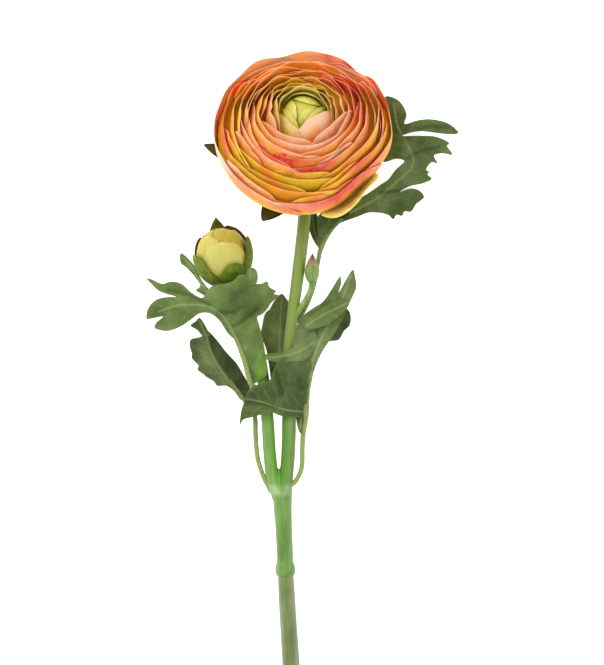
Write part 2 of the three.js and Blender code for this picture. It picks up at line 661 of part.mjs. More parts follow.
// A steady stand-in for chance: the same number between -1 and 1 for the same seed
function chance(seed) {
  const wild = Math.sin(seed * 127.1 + 11.7) * 43758.5453;
  return 2 * (wild - Math.floor(wild)) - 1;
}

// 1 where a heading meets the middle one, and less on both sides of it.
function nearAngle(heading, middleDeg, power) {
  return Math.max(0, Math.cos(heading - radians(middleDeg))) ** power;
}

// One petal of a ring, with its rim waved a little and its corners rounded off.
function petalSheet({ ring: ringNumber, angleDeg, halfDeg, lap, flat, seed }) {
  const last = RIM_RADII.length - 1;
  const ring = ringNumber / last;
  const outermost = ringNumber === last;
  const rounding = outermost ? OUTERMOST_CORNER : CORNER;
  const start = outermost ? 0.1 : 0.74;
  const [across, along] = outermost ? [6, 5] : [5, 2];
  const place = (u, v) => {
    const heading = radians(angleDeg + halfDeg * u * (outermost ? Math.min(1, 0.8 + 0.6 * v) : 1));
    const farDrop = alongRings(FAR_SIDE_DROP, ring) * nearAngle(heading, 90, 2);
    const uneven = RIM_SHIFT * chance(seed + 3) + RIM_TILT * chance(seed + 4) * u;
    const corner = 1 - rounding.cut * Math.abs(u) ** rounding.power * v;
    const s = (start + (1 - start) * v) * corner;
    const [radius, height] = petalProfile(ring, s, farDrop + uneven);
    const wave = v ** 3 * Math.sin(u * 3.4 + 6 * chance(seed + 5));
    const grown = outermost ? 0.5 * Math.min(1, 3 * v) : 1;
    const sunk = outermost ? -0.8 * Math.max(0, 1 - 3 * v) : 0;
    const off = (lap * u + flat * (u * u - 0.4)) * grown + RIM_WAVE.out * wave + sunk;
    return bloomPlace(radius + off, heading, height + RIM_WAVE.up * wave);
  };
  const row = (k) => Math.floor(k / (across + 1)) / along;
  const taper = (k) => THREE.MathUtils.lerp(2.2, PETAL_THICKNESS, Math.min(1, 1.4 * row(k)));
  return blade(gridSheet(across, along, place), outermost ? taper : PETAL_THICKNESS);
}

function ringOfPetals({ ring, count, firstDeg }) {
  const stepDeg = 360 / count;
  return Array.from({ length: count }, (_, number) => {
    const seed = ring * 10 + number;
    return petalSheet({
      ring,
      angleDeg: firstDeg + number * stepDeg + degrees(0.1 * chance(seed)),
      halfDeg: (stepDeg / 2) * PETAL_SPREAD,
      lap: PETAL_LAP,
      flat: PETAL_FLATNESS * (1 + chance(seed + 7)),
      seed,
    });
  });
}

// A petal that hugs the egg round the heart, and whose rim runs straight across it.
function coverPetal({ angleDeg, fromAxis, halfDeg, lift }) {
  const { onSkin } = egg({
    centre: bloomPlace(0, 0, HEART_EGG.height).toArray(),
    axis: bloomAxis,
    radius: HEART_EGG.radius,
    halfLength: HEART_EGG.halfHeight,
  });
  const foot = radians(HEART_EGG.footDeg);
  const place = (u, v) => {
    const off = radians(halfDeg) * u;
    const rim = Math.PI - Math.asin(Math.min(fromAxis / (HEART_EGG.radius * Math.cos(off)), 0.98));
    const fromFoot = foot + (rim - foot) * v * (1 - 0.12 * u ** 8);
    return onSkin(radians(angleDeg), fromFoot, off, lift + 0.2 * u);
  };
  return blade(gridSheet(6, 3, place), PETAL_THICKNESS);
}

// The petal that hangs open behind the last ring.
function backPetal() {
  const place = (u, v) => {
    const s = (0.5 + 0.5 * v) * (1 - 0.26 * Math.abs(u) ** 2.6 * v);
    const [radius, height] = petalProfile(1, s);
    const heading = radians(BACK_PETAL.angleDeg + BACK_PETAL.halfDeg * u * (0.75 + 0.25 * v));
    const down = BACK_PETAL.down * v ** 3 * (1 - 0.6 * u * u);
    const out = (0.6 + BACK_PETAL.out * v) * (1 - u * u) - 0.5 * u ** 4;
    return bloomPlace(radius + out, heading, height - down);
  };
  return blade(gridSheet(5, 4, place), PETAL_THICKNESS);
}

// The dense foot of the petals, which they all stand out of
function bloomCore() {
  const section = [[0, 0.9]];
  for (let k = 1; k <= 5; k += 1) {
    const [radius, height] = petalProfile(1, 0.165 * k);
    section.push([radius * 0.985 - 0.2, height + 0.5]);
  }
  section.push([35.5, 26.5], [32, 30], [24, 36.5], [14, 39], [10.6, 38], [9.6, 33.6], [0, 33.45]);
  return turned(bloomEgg, section.map(([r, h]) => [r, h - BLOOM.halfDepth]), 16);
}

// Everything below the table top, to press a flat resting spot into what reaches it
function belowTable() {
  return new THREE.BoxGeometry(500, 500, 40).translate(0, 0, -20);
}

function bloomPetals() {
  const inner = INNER_PETALS.map((petal, number) => petalSheet({ ...petal, seed: 200 + number }));
  const outer = OUTER_RINGS.flatMap(ringOfPetals);
  const cover = COVER_PETALS.map(coverPetal);
  return fuse([bloomCore(), ...inner, ...outer, ...cover, backPetal()], [belowTable()]);
}

function bloomHeart() {
  const shape = {
    centre: bloomPlace(0, 0, HEART.height).toArray(),
    axis: bloomAxis,
    radius: HEART.radius,
    halfLength: HEART.halfHeight,
  };
  const wraps = HEART_WRAPS.map((wrap, k) => (
    blade(gridSheet(4, 3, hugging(shape, {
      ...wrap,
      startDeg: 60,
      lift: HEART_WRAP.firstLift + HEART_WRAP.liftStep * k,
      point: 0.4,
    })), HEART_WRAP.thickness)
  ));
  return fuse([eggBody(shape, -0.6, 11, 7), ...wraps]);
}

// The shallow bowl that the sepals grow from, between two lifts above the egg's skin
function calyxBowl(shape, inside, outside, spreadDeg) {
  const at = (part, lift) => [
    (shape.radius + lift) * Math.sin(radians(spreadDeg * part)),
    -(shape.halfLength + lift) * Math.cos(radians(spreadDeg * part)),
  ];
  const section = [at(0, outside), at(0.5, outside), at(1, outside)];
  section.push(at(1, inside), at(0.5, inside), at(0, inside));
  return turned(shape, section, 14);
}

function bloomSepals() {
  const blades = SEPALS.map((sepal) => (
    blade(gridSheet(2, 6, hugging(bloomEgg, { ...sepal, startDeg: 4, lift: 1.65 })), 0.7)
  ));
  return fuse([calyxBowl(bloomEgg, 1.15, BLOOM_BOWL_LIFT, 15), ...blades], [belowTable()]);
}

// The yellow bud and the small bud

function budPetals() {
  const petals = BUD_PETALS.map((petal) => (
    blade(gridSheet(4, 3, hugging(BUD, { ...petal, startDeg: 40, point: 0.3 })), 1)
  ));
  return fuse([eggBody(BUD, -0.6, 11, 8), ...petals]);
}

function budSepals() {
  const blades = BUD_SEPALS.map((sepal, k) => (
    blade(gridSheet(3, 4, hugging(BUD, {
      ...sepal,
      startDeg: 14,
      lift: 1.76 + 0.11 * k,
    })), 0.7)
  ));
  return fuse([calyxBowl(BUD, 1.35, BUD_BOWL_LIFT, 34), ...blades], [belowTable()]);
}

function smallBud() {
  const body = turned(SMALL_BUD, SMALL_BUD.section, 10);
  return fuse([body, taperedTube(SMALL_BUD_STALK)], upperStemTubes(GAP));
}

// Stems

function upperStemTubes(grow = 0) {
  return [
    taperedTube(BLOOM_STEM, { sides: 9, grow }),
    taperedTube(BUD_STEM, { sides: 8, grow }),
  ];
}

function upperStem() {
  const ring = taperedTube(JOINT_RING, { sides: 12 });
  const calyxRoom = eggBody(bloomEgg, BLOOM_BOWL_LIFT + GAP, 16, 10);
  const cupRoom = eggBody(BUD, BUD_BOWL_LIFT + GAP, 12, 9);
  return fuse([ring, ...upperStemTubes()], [calyxRoom, cupRoom, belowTable()]);
}

function lowerStem() {
  return fuse([taperedTube(LOWER_STEM, { sides: 12 })], [belowTable()]);
}

// Leaves

// A leaf is its blades and the stalks that carry them, cut clear of the main stems
function leaf(blades, stalks, folds = {}) {
  const tubes = stalks.map((stalk) => taperedTube(stalk, { sides: 6 }));
  const sheets = Object.entries(blades).map(([name, shape]) => (
    leafBlade(shape, folds[name] ?? LEAF_FOLD)
  ));
  return fuse([...tubes, ...sheets], [...upperStemTubes(GAP), belowTable()]);
}

// This leaf is bent down along its midrib
function lowLeftLeaf() {
  return leaf(LOW_LEFT_LEAF, [LOW_LEFT_STALK, LOW_LEFT_CURL_RIB], { blade: 0.3 });
}

function leafBlade({ outline, rib, heights }, fold) {
  const contour = outline.map(([x, y]) => new THREE.Vector2(x, y));
  if (THREE.ShapeUtils.isClockWise(contour)) contour.reverse();
  const ribPoints = rib.slice(0, -1).map(([x, y]) => new THREE.Vector2(x, y));
  const flat = triangulate(contour, [...ribPoints, ...filling(contour, ribPoints)]);
  const points = flat.points.map(({ x, y }) => (
    new THREE.Vector3(x, y, leafHeight(x, y, rib, heights, fold))
  ));
  return blade({ points, triangles: flat.triangles }, LEAF_THICKNESS);
}

// The blade's height: a smooth mean of the given heights, folded along the midrib and rippled
function leafHeight(x, y, rib, heights, fold) {
  let sum = 0;
  let weights = 0;
  for (const [hx, hy, hz] of heights) {
    const weight = ((x - hx) ** 2 + (y - hy) ** 2 + 6) ** -2;
    sum += weight * hz;
    weights += weight;
  }
  const off = Math.min(distanceToLine(x, y, rib), FOLD_REACH);
  const ripple = RIPPLE * Math.sin(0.55 * x + 0.25 * y) * Math.sin(0.5 * y - 0.2 * x);
  return sum / weights - fold * off + ripple * Math.min(1, (2 * off) / FOLD_REACH);
}

function distanceToLine(x, y, line) {
  let nearest = Infinity;
  for (let k = 1; k < line.length; k += 1) {
    const [ax, ay] = line[k - 1];
    const [bx, by] = [line[k][0] - ax, line[k][1] - ay];
    const along = THREE.MathUtils.clamp(((x - ax) * bx + (y - ay) * by) / (bx * bx + by * by), 0, 1);
    nearest = Math.min(nearest, Math.hypot(x - ax - along * bx, y - ay - along * by));
  }
  return nearest;
}

// Points inside an outline, a step apart and clear of its edge and of the midrib's points
function filling(contour, ribPoints) {
  const box = new THREE.Box2().setFromPoints(contour);
  const closed = [...contour, contour[0]].map(({ x, y }) => [x, y]);
  const points = [];
  const rowStep = LEAF_STEP * 0.866;
  let row = 0;
  for (let y = box.min.y + 0.37; y < box.max.y; y += rowStep) {
    row += 1;
    for (let x = box.min.x + 0.53 + (row % 2) * LEAF_STEP * 0.5; x < box.max.x; x += LEAF_STEP) {
      const point = new THREE.Vector2(x, y + 0.013 * (x - box.min.x));
      const clear = ribPoints.every((other) => other.distanceTo(point) > LEAF_STEP * 0.5);
      if (!clear || distanceToLine(point.x, point.y, closed) < LEAF_STEP * 0.3) continue;
      if (inside(point, contour)) points.push(point);
    }
  }
  return points;
}

function inside(point, contour) {
  let within = false;
  contour.forEach((a, k) => {
    const b = contour[(k + 1) % contour.length];
    const crosses = (a.y > point.y) !== (b.y > point.y);
    if (crosses && point.x < a.x + ((b.x - a.x) * (point.y - a.y)) / (b.y - a.y)) within = !within;
  });
  return within;
}

// Splits an outline and the points inside it into triangles that are as stout as they can be
function triangulate(contour, extra) {
  const points = [...contour, ...extra];
  const triangles = THREE.ShapeUtils.triangulateShape(contour, []);
  for (let k = contour.length; k < points.length; k += 1) {
    const home = triangles.findIndex((corners) => corners.every((a, i) => (
      turn(points[a], points[corners[(i + 1) % 3]], points[k]) > 0
    )));
    if (home < 0) continue;
    const [a, b, c] = triangles[home];
    triangles.splice(home, 1, [a, b, k], [b, c, k], [c, a, k]);
    while (flipOnce(points, triangles));
  }
  return compact(points, triangles);
}

// Twice the area of the triangle a, b, c, positive when they turn to the left
function turn(a, b, c) {
  return (b.x - a.x) * (c.y - a.y) - (b.y - a.y) * (c.x - a.x);
}

// Swaps the diagonals of neighbouring triangles where that makes their corners less sharp
function flipOnce(points, triangles) {
  const owners = new Map();
  triangles.forEach((corners, t) => corners.forEach((a, i) => {
    owners.set(`${a} ${corners[(i + 1) % 3]}`, [t, corners[(i + 2) % 3]]);
  }));
  for (const [edge, [t, c]] of owners) {
    const [a, b] = edge.split(' ').map(Number);
    const other = owners.get(`${b} ${a}`);
    if (!other || a > b) continue;
    const [s, d] = other;
    const [pa, pb, pc, pd] = [a, b, c, d].map((k) => points[k]);
    if (turn(pa, pd, pc) <= 1e-9 || turn(pd, pb, pc) <= 1e-9) continue;
    if (cornerAt(pc, pa, pb) + cornerAt(pd, pa, pb) > Math.PI + 1e-6) {
      triangles[t] = [a, d, c];
      triangles[s] = [d, b, c];
      return true;
    }
  }
  return false;
}

function cornerAt(p, a, b) {
  const one = new THREE.Vector2().subVectors(a, p);
  return one.angleTo(new THREE.Vector2().subVectors(b, p));
}

function compact(points, triangles) {
  const used = [...new Set(triangles.flat())].sort((a, b) => a - b);
  const place = new Map(used.map((old, k) => [old, k]));
  return {
    points: used.map((k) => points[k]),
    triangles: triangles.map((corners) => corners.map((k) => place.get(k))),
  };
}

const ranunculus = new THREE.Group();
ranunculus.add(
  named('stem_lower', lowerStem(), 0x8a9a78, 0.6),
  named('stem_upper', upperStem(), 0x7ea552, 0.5),
  named('bloom_petals', bloomPetals(), 0xf0925c, 0.7),
  named('bloom_heart', bloomHeart(), 0xc8c84a, 0.7),
  named('bloom_sepals', bloomSepals(), 0x4f5a2a, 0.7),
  named('bud_petals', budPetals(), 0xd8cd72, 0.7),
  named('bud_sepals', budSepals(), 0x586a24, 0.7),
  named('small_bud', smallBud(), 0x8fae5c, 0.6),
  named('leaf_upper_right', leaf(UPPER_RIGHT_LEAF, [UPPER_RIGHT_STALK]), 0x5f7d4b, 0.7),
  named('leaf_over_bud', leaf(OVER_BUD_LEAF, [OVER_BUD_STALK, OVER_BUD_BACK_RIB]), 0x64875a, 0.7),
  named('leaf_low_left', lowLeftLeaf(), 0x4c6636, 0.7),
  named('leaf_centre_back', leaf(CENTRE_BACK_LEAF, [CENTRE_BACK_STALK]), 0x6d7d55, 0.7),
  named('leaf_right', leaf(RIGHT_LEAF, [RIGHT_STALK]), 0x5b7548, 0.7),
);

export default ranunculus;
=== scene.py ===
"""A cut ranunculus spray on a pale table: an open bloom, a yellow bud, a small bud and leaves.

Shapes are laid out in millimetres, in the frame of the part: X to the right, Y from the cut end
of the stem to the bloom, Z up from the table. They become metres when their mesh is made.
"""
import math

import bpy
import numpy as np
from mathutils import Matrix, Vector
from mathutils.geometry import delaunay_2d_cdt


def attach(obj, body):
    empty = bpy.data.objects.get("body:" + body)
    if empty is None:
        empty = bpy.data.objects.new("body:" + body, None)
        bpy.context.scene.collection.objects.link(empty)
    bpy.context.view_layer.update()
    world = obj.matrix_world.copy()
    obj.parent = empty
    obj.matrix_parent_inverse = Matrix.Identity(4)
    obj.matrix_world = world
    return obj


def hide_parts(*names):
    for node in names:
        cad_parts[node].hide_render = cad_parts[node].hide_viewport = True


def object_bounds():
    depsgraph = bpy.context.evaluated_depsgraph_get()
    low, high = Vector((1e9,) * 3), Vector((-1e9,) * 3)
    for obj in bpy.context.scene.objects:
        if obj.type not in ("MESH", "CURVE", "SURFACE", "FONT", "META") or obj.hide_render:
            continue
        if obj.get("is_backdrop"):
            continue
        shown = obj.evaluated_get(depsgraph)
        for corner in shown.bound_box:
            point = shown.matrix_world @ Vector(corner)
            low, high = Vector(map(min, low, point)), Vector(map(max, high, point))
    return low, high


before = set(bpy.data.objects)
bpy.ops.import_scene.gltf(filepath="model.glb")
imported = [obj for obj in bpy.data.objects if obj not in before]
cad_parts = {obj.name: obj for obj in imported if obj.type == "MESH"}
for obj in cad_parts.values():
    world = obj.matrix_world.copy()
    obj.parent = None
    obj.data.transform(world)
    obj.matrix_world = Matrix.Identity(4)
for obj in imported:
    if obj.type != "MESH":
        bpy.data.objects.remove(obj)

MM = 0.001
PART_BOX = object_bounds()

# The open bloom is a flattened ball of petals whose axis leans towards +Y. Its rings of petals
# run from the heart outwards, and angles round it are measured from +X towards +Y.
BLOOM_CENTRE = (0.6, 122.8, 28.4)
BLOOM_LEAN = math.radians(30)
BLOOM_RADIUS = 40.5
BLOOM_HALF_DEPTH = 24
RIM_RADII = (9.8, 13.4, 16.8, 20, 22.7, 25.2, 28, 32, 36.2, 39.8)
LAST_RING = len(RIM_RADII) - 1
# Petals of the inner rings: ring, angle of the middle, half angle, lap and flatness
INNER_PETALS = (
    (0, 92, 100, 0.3, 0), (0.5, 55, 72, 0.4, 0.2), (0.7, 165, 60, -0.4, 0.4),
    (1.2, 110, 62, 0.5, 0.3), (1.1, 22, 48, 0.3, 0.5), (1.4, 182, 44, -0.5, 0.6),
    (2.1, 240, 47, -1.3, 1.5), (1.9, 320, 41, 1, 2.4), (2, 40, 56, 0.5, 0.4),
    (2, 135, 58, 0.5, 0.4),
)
# Petals of the outer rings: how many, spread evenly round each, and the angle of the first
OUTER_RINGS = {
    3: (4, 280), 4: (4, 225), 5: (4, 262), 6: (5, 300), 7: (5, 250), 8: (5, 318), 9: (5, 286),
}
FAR_SIDE_DROP = (2, 4.9, 5.2, 5.4, 4.6, 3.5, 2, 5.4, 7, 0)
INNER_RIM_HEIGHT = 49.5
RIM_DROP = 19
FOOT_RISE = 8
INNER_CURL = math.radians(130)
OUTER_CURL = math.radians(100)
PETAL_SPREAD = 1.4
PETAL_LAP = 0.8
PETAL_FLATNESS = 0.5
PETAL_THICKNESS = 0.36
# Where a petal starts along its ring's curve, the steps of its sheet, and how much of its length
# its corners lose, and how sharply
RING_PETAL = (0.62, (40, 16), 0.11, 6)
OUTERMOST_PETAL = (0.1, (44, 32), 0.15, 3.5)
# How far chance shifts a rim down and tilts it, and how far the rim waves out and up
RIM_SHIFT = 0.6
RIM_TILT = 0.5
RIM_WAVE = (0.4, 0.8)
FINE_WAVE = (0.3, 0.42)
# More petals between the rings: ring, angle, half their width, lap and flatness
MORE_PETALS = (
    (6.5, 268, 30, 0.4, 0.5), (7.5, 246, 30, 0.5, 0.6), (8.5, 228, 26, 0.4, 0.5),
    (8.5, 287, 28, 0.5, 0.5), (7.5, 203, 22, -0.4, 0.5), (6.4, 212, 24, -0.4, 0.5),
    (7.5, 302, 24, -0.4, 0.4), (5.5, 236, 28, 0.4, 0.4), (5.5, 304, 28, -0.4, 0.4),
    (7.5, 112, 32, 0.4, 0.5), (8.5, 62, 30, 0.4, 0.5), (7.6, 18, 30, 0.5, 0.5),
    (4.5, 265, 30, 0.4, 0.4),
)
# Both lists, the seed of the first petal in each, and how far a rim falls away at its ends
PLACED_PETALS = ((INNER_PETALS, 200, 0), (MORE_PETALS, 300, 3.2))
# At the lower right the outer rings are pressed in, and a pale petal hangs open behind them
PINCH = {"angle": math.radians(317), "power": 11, "depth": 5.4, "from_height": 2, "rise": 15}
BACK_PETAL = {
    "angle": math.radians(309), "half": math.radians(27), "down": 9.5, "out": 9.4, "ring": 12,
    "seed": 99,
}
# Two petals lean over the heart, and hug an egg round it. Their rims run straight across: the
# angle of their middle, how far the rim is from the axis, half their width in degrees, how much
# more peach they are, how far they stand off, and how much of them is pale green
HEART_EGG = {"radius": 13.2, "half": 10.4, "height": 38.2}
COVER_FOOT = math.radians(62)
COVER_PETALS = ((222, 8.6, 56, 0.3, 0, 0.75), (307, 6.2, 60, 0.5, 0.5, 0.1))

# Where petal rims are flushed with red: ring, angle round the bloom, half width, strength, and
# how far the red turns to pink
BLUSHES = (
    (3, 30, 34, 1.1, 0), (4, 26, 38, 1.4, 0), (5, 30, 40, 1.4, 0), (6, 26, 34, 1.2, 0),
    (7, 28, 14, 0.9, 0), (8, 24, 22, 1.1, 0), (8, 144, 9, 1.3, 0), (9, 172, 16, 0.6, 0.1),
    (9, 74, 5, 0.8, 0.3), (9, 59, 6, 1.1, 0.3), (9, 41, 7, 1.1, 0.35), (9, 22, 10, 1.1, 0.3),
    (8, 182, 22, 1.2, 0), (5, 247, 30, 1.3, 0.3), (6, 284, 22, 1.2, 0.7),
    (7, 320, 16, 0.4, 0.3), (8, 322, 18, 1, 0.6), (9, 302, 36, 1.4, 0.7),
    (9, 225, 18, 0.5, 0.1), (8, 255, 24, 0.6, 0), (7, 238, 9, 0.7, 0), (9, 262, 12, 0.7, 0.2),
    (6.5, 268, 14, 0.45, 0.8), (5.5, 236, 20, 0.7, 0.2), (8.5, 287, 20, 0.7, 0.3),
    (7.5, 246, 9, 0.7, 0), (8.5, 62, 18, 0.6, 0.2), (7.6, 18, 14, 0.8, 0.1),
    (4.5, 252, 16, 1.2, 0.1),
)

# Where petals are more peach, above 0, or more golden, below it: ring, angle round the bloom,
# the half widths of both, and by how much
TINTS = (
    (1, 275, 1.6, 70, 0.35), (1.2, 110, 1.8, 60, -0.35), (7.5, 258, 0.9, 40, -0.4),
    (7.6, 212, 0.9, 20, -0.35), (8.8, 95, 0.9, 40, 0.25), (9, 245, 0.6, 35, 0.25),
    (9, 183, 0.6, 25, 0.35), (3, 285, 1.2, 50, 0.15), (6, 100, 1, 40, 0.1),
    (8.4, 5, 0.8, 25, -0.2), (7.6, 155, 0.8, 18, -0.3), (6.5, 300, 0.6, 30, -0.2),
    (7.4, 250, 1.2, 45, -0.4), (0.4, 90, 0.8, 100, -0.25), (2, 240, 0.6, 40, 0.2),
    (8.7, 190, 0.7, 26, 0.3), (8.8, 112, 0.8, 42, 0.5), (8.6, 62, 0.7, 20, 0.3),
    (8.8, 196, 0.6, 20, 0.3),
)

HEART = {"radius": 9.1, "half": 7.2, "height": 41.3}
# Wraps of the heart: angle round it, how far they reach from its foot, and half their width
HEART_WRAPS = (
    (300, 170, 50), (75, 164, 56), (190, 158, 60), (320, 150, 62), (215, 140, 52), (80, 134, 66),
)

# The steps of a wrap's sheet, and how far from a rim the insides of a bloom or bud count as
WRAP_STEPS = (28, 28)
INSIDE = {"bloom": 12, "heart": 5, "bud": 4}

SEPAL_THICKNESS = 0.5
# Sepals are laid over an egg: the angle round it, how far they reach from its foot, half their
# width, all in degrees, and how far the tip stands off
BLOOM_SEPALS = (
    (178, 70, 9, 6), (242, 58, 10, 5), (300, 59, 10, 5), (46, 33, 10, 0.3), (130, 33, 10, 0.3),
)
BUD = {"centre": (-36.3, 68.5, 14.8), "axis": (-0.16, 0.95, 0.24), "radius": 11.2, "half": 12.8}
# The bud's sepals also say how pointed they are, and how red their edge is
BUD_SEPALS = (
    (94, 143, 31, 4.4, 0.85, 1), (58, 140, 46, 0.3, 0.4, 1), (140, 121, 26, 0.6, 0.5, 1),
    (350, 118, 34, 0.8, 0.42, 0.55), (207, 103, 37, 0.4, 0.27, 0.3), (291, 84, 32, 0.5, 0.4, 0.2),
)
# Petals of the bud: angle, how far they reach, half width, how far they stand off
BUD_PETALS = (
    (60, 165, 60, -0.6), (180, 168, 58, -0.4), (100, 148, 76, 0.5), (335, 152, 60, 0.1),
    (225, 146, 54, 0.35), (275, 127, 58, 0.8),
)
SMALL_BUD = {"centre": (4.4, 61.5, 14), "axis": (0.02, 0.99, 0.12), "radius": 3.4, "half": 7}
SMALL_BUD_SECTION = (
    (0, -6), (1.4, -5.6), (2.6, -3.8), (3.4, -0.9), (3.1, 1.5), (2.2, 3.8), (1, 6.2), (0, 8),
)

# Where the stems part
FORK_Y = -38.5
# Stem and stalk routes: x, y, z of the centre line and the radius there
LOWER_STEM = (
    (-2.7, -160.8, 4.1, 4.1), (-5.3, -117.5, 5.3, 4), (-6.5, -98.8, 6, 3.8),
    (-7.5, -81.1, 6.8, 3.65), (-7.7, -76.5, 7, 3.5),
)
JOINT_RING = (
    (-7.7, -77.7, 6.95, 4.1), (-7.8, -75.5, 7.05, 4.6), (-7.9, -73.2, 7.15, 4.4),
    (-8, -71, 7.25, 3.7),
)
BLOOM_STEM = (
    (-7.9, -72.5, 7.2, 3.7), (-8, -67.9, 7.4, 3.75), (-8.6, -54.3, 8.1, 3.85),
    (-9, -44.2, 8.8, 4.2), (-7.6, -33.8, 9.4, 3.3), (-6.6, -23.3, 10, 3.2), (-6.1, -5.6, 11, 3.2),
    (-5.7, 28.6, 11.6, 2.8), (-4.6, 40.8, 11.6, 2.6), (-2.1, 59.5, 11, 2.85), (0.9, 86.3, 9.2, 3),
    (1, 97, 6.6, 3), (0.6, 104, 4.4, 3), (0.3, 109, 4.6, 3), (0.2, 112, 7.5, 3),
)
BUD_STEM = (
    (-9.4, -44.2, 8.8, 3.6), (-13.4, -33.8, 9.2, 3), (-14.8, -23.3, 9.8, 2.9),
    (-16, -5.6, 11, 2.9), (-18, 12.6, 12, 2.8), (-20.7, 27.6, 12.6, 2.7), (-24.8, 39, 12.6, 2.5),
    (-29.3, 48.1, 11.8, 2.4), (-34, 56.5, 11.2, 2.3),
)
SMALL_BUD_STALK = (
    (-3.6, 40, 12, 1.2), (-1.2, 44, 13, 1.3), (2.4, 49.5, 13.6, 1.25), (4.2, 54, 13.6, 1.3),
    (4.4, 58, 13.8, 1.4),
)
UPPER_RIGHT_STALK = (
    (-2.5, 38, 10, 1), (1, 44, 8.6, 1), (5, 54, 7.6, 1), (7, 65, 7.8, 1), (8.6, 72, 8.8, 1.1),
    (13.5, 80.5, 8.4, 0.9), (21, 87.5, 8, 0.7),
)
OVER_BUD_STALK = (
    (-17.3, 1.5, 13, 1), (-20.5, 6.5, 14.6, 1.2), (-23.5, 10.5, 14.4, 1.3), (-26.5, 21, 16, 1.2),
    (-31, 32, 18, 0.9), (-36.5, 40.5, 19.8, 0.35),
)
OVER_BUD_BACK_RIB = (
    (-40, 43.5, 22.4, 0.3), (-41.6, 47.5, 21, 0.6), (-44.8, 54, 15, 0.6),
    (-49.5, 62, 9.8, 0.35),
)
LOW_LEFT_STALK = (
    (-14.2, -39.4, 9, 1.1), (-17.5, -33, 9, 1.1), (-20.4, -24, 9.4, 1.1), (-21.4, -13, 9.4, 1.1),
    (-21.8, -5, 9.2, 1.1), (-24.6, 0, 9.2, 1.1), (-27.5, 4, 9.3, 0.9), (-33, 12, 8.2, 0.35),
)
LOW_LEFT_CURL_RIB = ((-43.2, 31, 7.5, 0.3), (-43.8, 34, 8.2, 0.6), (-45.2, 37.5, 9.6, 0.3))
CENTRE_BACK_STALK = (
    (-6.6, -3, 9.5, 1.2), (-8.2, 2.5, 7.4, 1.2), (-9.8, 8, 6.6, 1.1), (-10.2, 16, 6, 0.8),
)
RIGHT_STALK = (
    (-6, -36.5, 9.6, 1.1), (-3.6, -35, 9.8, 1.1), (-0.5, -29, 10.4, 1.1), (0, -19.5, 11, 1.1),
    (0.4, -12, 11.4, 1.2), (1.4, -5, 11.8, 1.4), (1.8, 2.5, 12.6, 1.4), (2.6, 10, 13.6, 1.3),
    (5.2, 21.5, 14.1, 1.1), (9, 32, 14.9, 0.35),
)

# Leaf blades: the outline and the midrib as x, y, and the height of the blade at points on it.
# A positive fold lets the blade fall away from its midrib, and a negative one lets it rise. A
# blade may have creases along lines, darkened with painted shade, painted shade on one side of
# its midrib, a tone that is lighter or darker than the others', and a line along which its
# green is fresh.
LEAF_THICKNESS = 0.36
STALK_SIDES = 14
LEAF_STEP = 0.85
LEAF_FOLD = -0.1
FOLD_REACH = 8
RIPPLE = 0.5
RIB_WIDTH = 0.34
# Rows of points lie along the midrib at this distance, on both sides
RIB_ROW = 0.55
RIB_HEIGHT = 0.3
VEIN_STEP = 5.2
VEIN_WIDTH = 0.26
VEIN_DEPTH = 0.28
CREASE_WIDTH = 1.1
CREASE_DEPTH = 0.9
UPPER_RIGHT_LEAF = {"blade": {
    "creases": [
        [(35, 97), (43, 98), (52, 99)], [(46, 112), (54, 116), (62, 118)],
        [(47, 121), (55, 126.5), (66, 127)],
    ],
    "outline": [
        (7.4, 71.5), (7.2, 76), (6.8, 81), (7, 86), (11, 89.5), (18, 91), (25, 94), (31, 97.5), (36, 101),
        (39, 103), (42.5, 107.5), (46.5, 111.5), (42.5, 112.5), (37.5, 111), (33.5, 113), (31, 118),
        (31, 124), (33, 131), (35.5, 137), (38, 141), (41.5, 140.5), (45, 138), (47.5, 132.5),
        (46.5, 128.5), (52.5, 130), (58, 130.5), (65, 129.2), (69.3, 126.6), (71, 124.2), (69.5, 123.6),
        (62.5, 124), (54.5, 125), (50, 124.5), (45.5, 123), (53.5, 123), (61, 122.5), (67, 119.5),
        (66, 118.5), (68.5, 114.5), (63.5, 115), (60, 114), (61.5, 110.5), (59, 111), (56.5, 107.5),
        (58, 106.5), (57, 105.5), (59, 103.5), (55.5, 101.5), (49, 100), (44.5, 97.5), (49.5, 99),
        (53.5, 98), (55.5, 95), (52, 92), (49.5, 88.5), (46.5, 88.5), (45.5, 86.5), (43, 87), (41.5, 85),
        (39, 87), (30.5, 88), (25, 86), (18, 83.5), (13, 81), (10.6, 75.5), (9.6, 71.5),
    ],
    "rib": [
        (8.5, 72), (13.5, 81), (21.5, 87.5), (33, 94), (43.5, 102.5), (50.5, 110.5), (48, 118.5),
        (43.5, 127.5), (41.5, 137.5),
    ],
    "heights": [
        (8.5, 72, 9), (19.5, 85.5, 8.5), (31.5, 92, 8), (41.5, 86.5, 4), (54.5, 95, 5), (45.5, 102.5, 8),
        (58.5, 103.5, 5.5), (47, 111.5, 9.5), (68, 114.5, 6), (52.5, 118, 9), (71, 125, 11),
        (58, 127.5, 10), (46, 134.5, 8.5), (38, 140, 6), (32.5, 123, 5), (37.5, 112, 6.5),
    ],
}, "base_lobe": {
    "outline": [
        (8.5, 71), (5.5, 74.5), (3, 80.5), (2, 86.5), (4, 88.5), (6.5, 87.5), (7.5, 82), (9.5, 72.5),
    ],
    "rib": [(8, 72), (5.5, 79.5), (4.5, 86.5)],
    "heights": [(8.5, 71, 8.6), (5, 80, 5), (4.5, 87.5, 4)],
}}
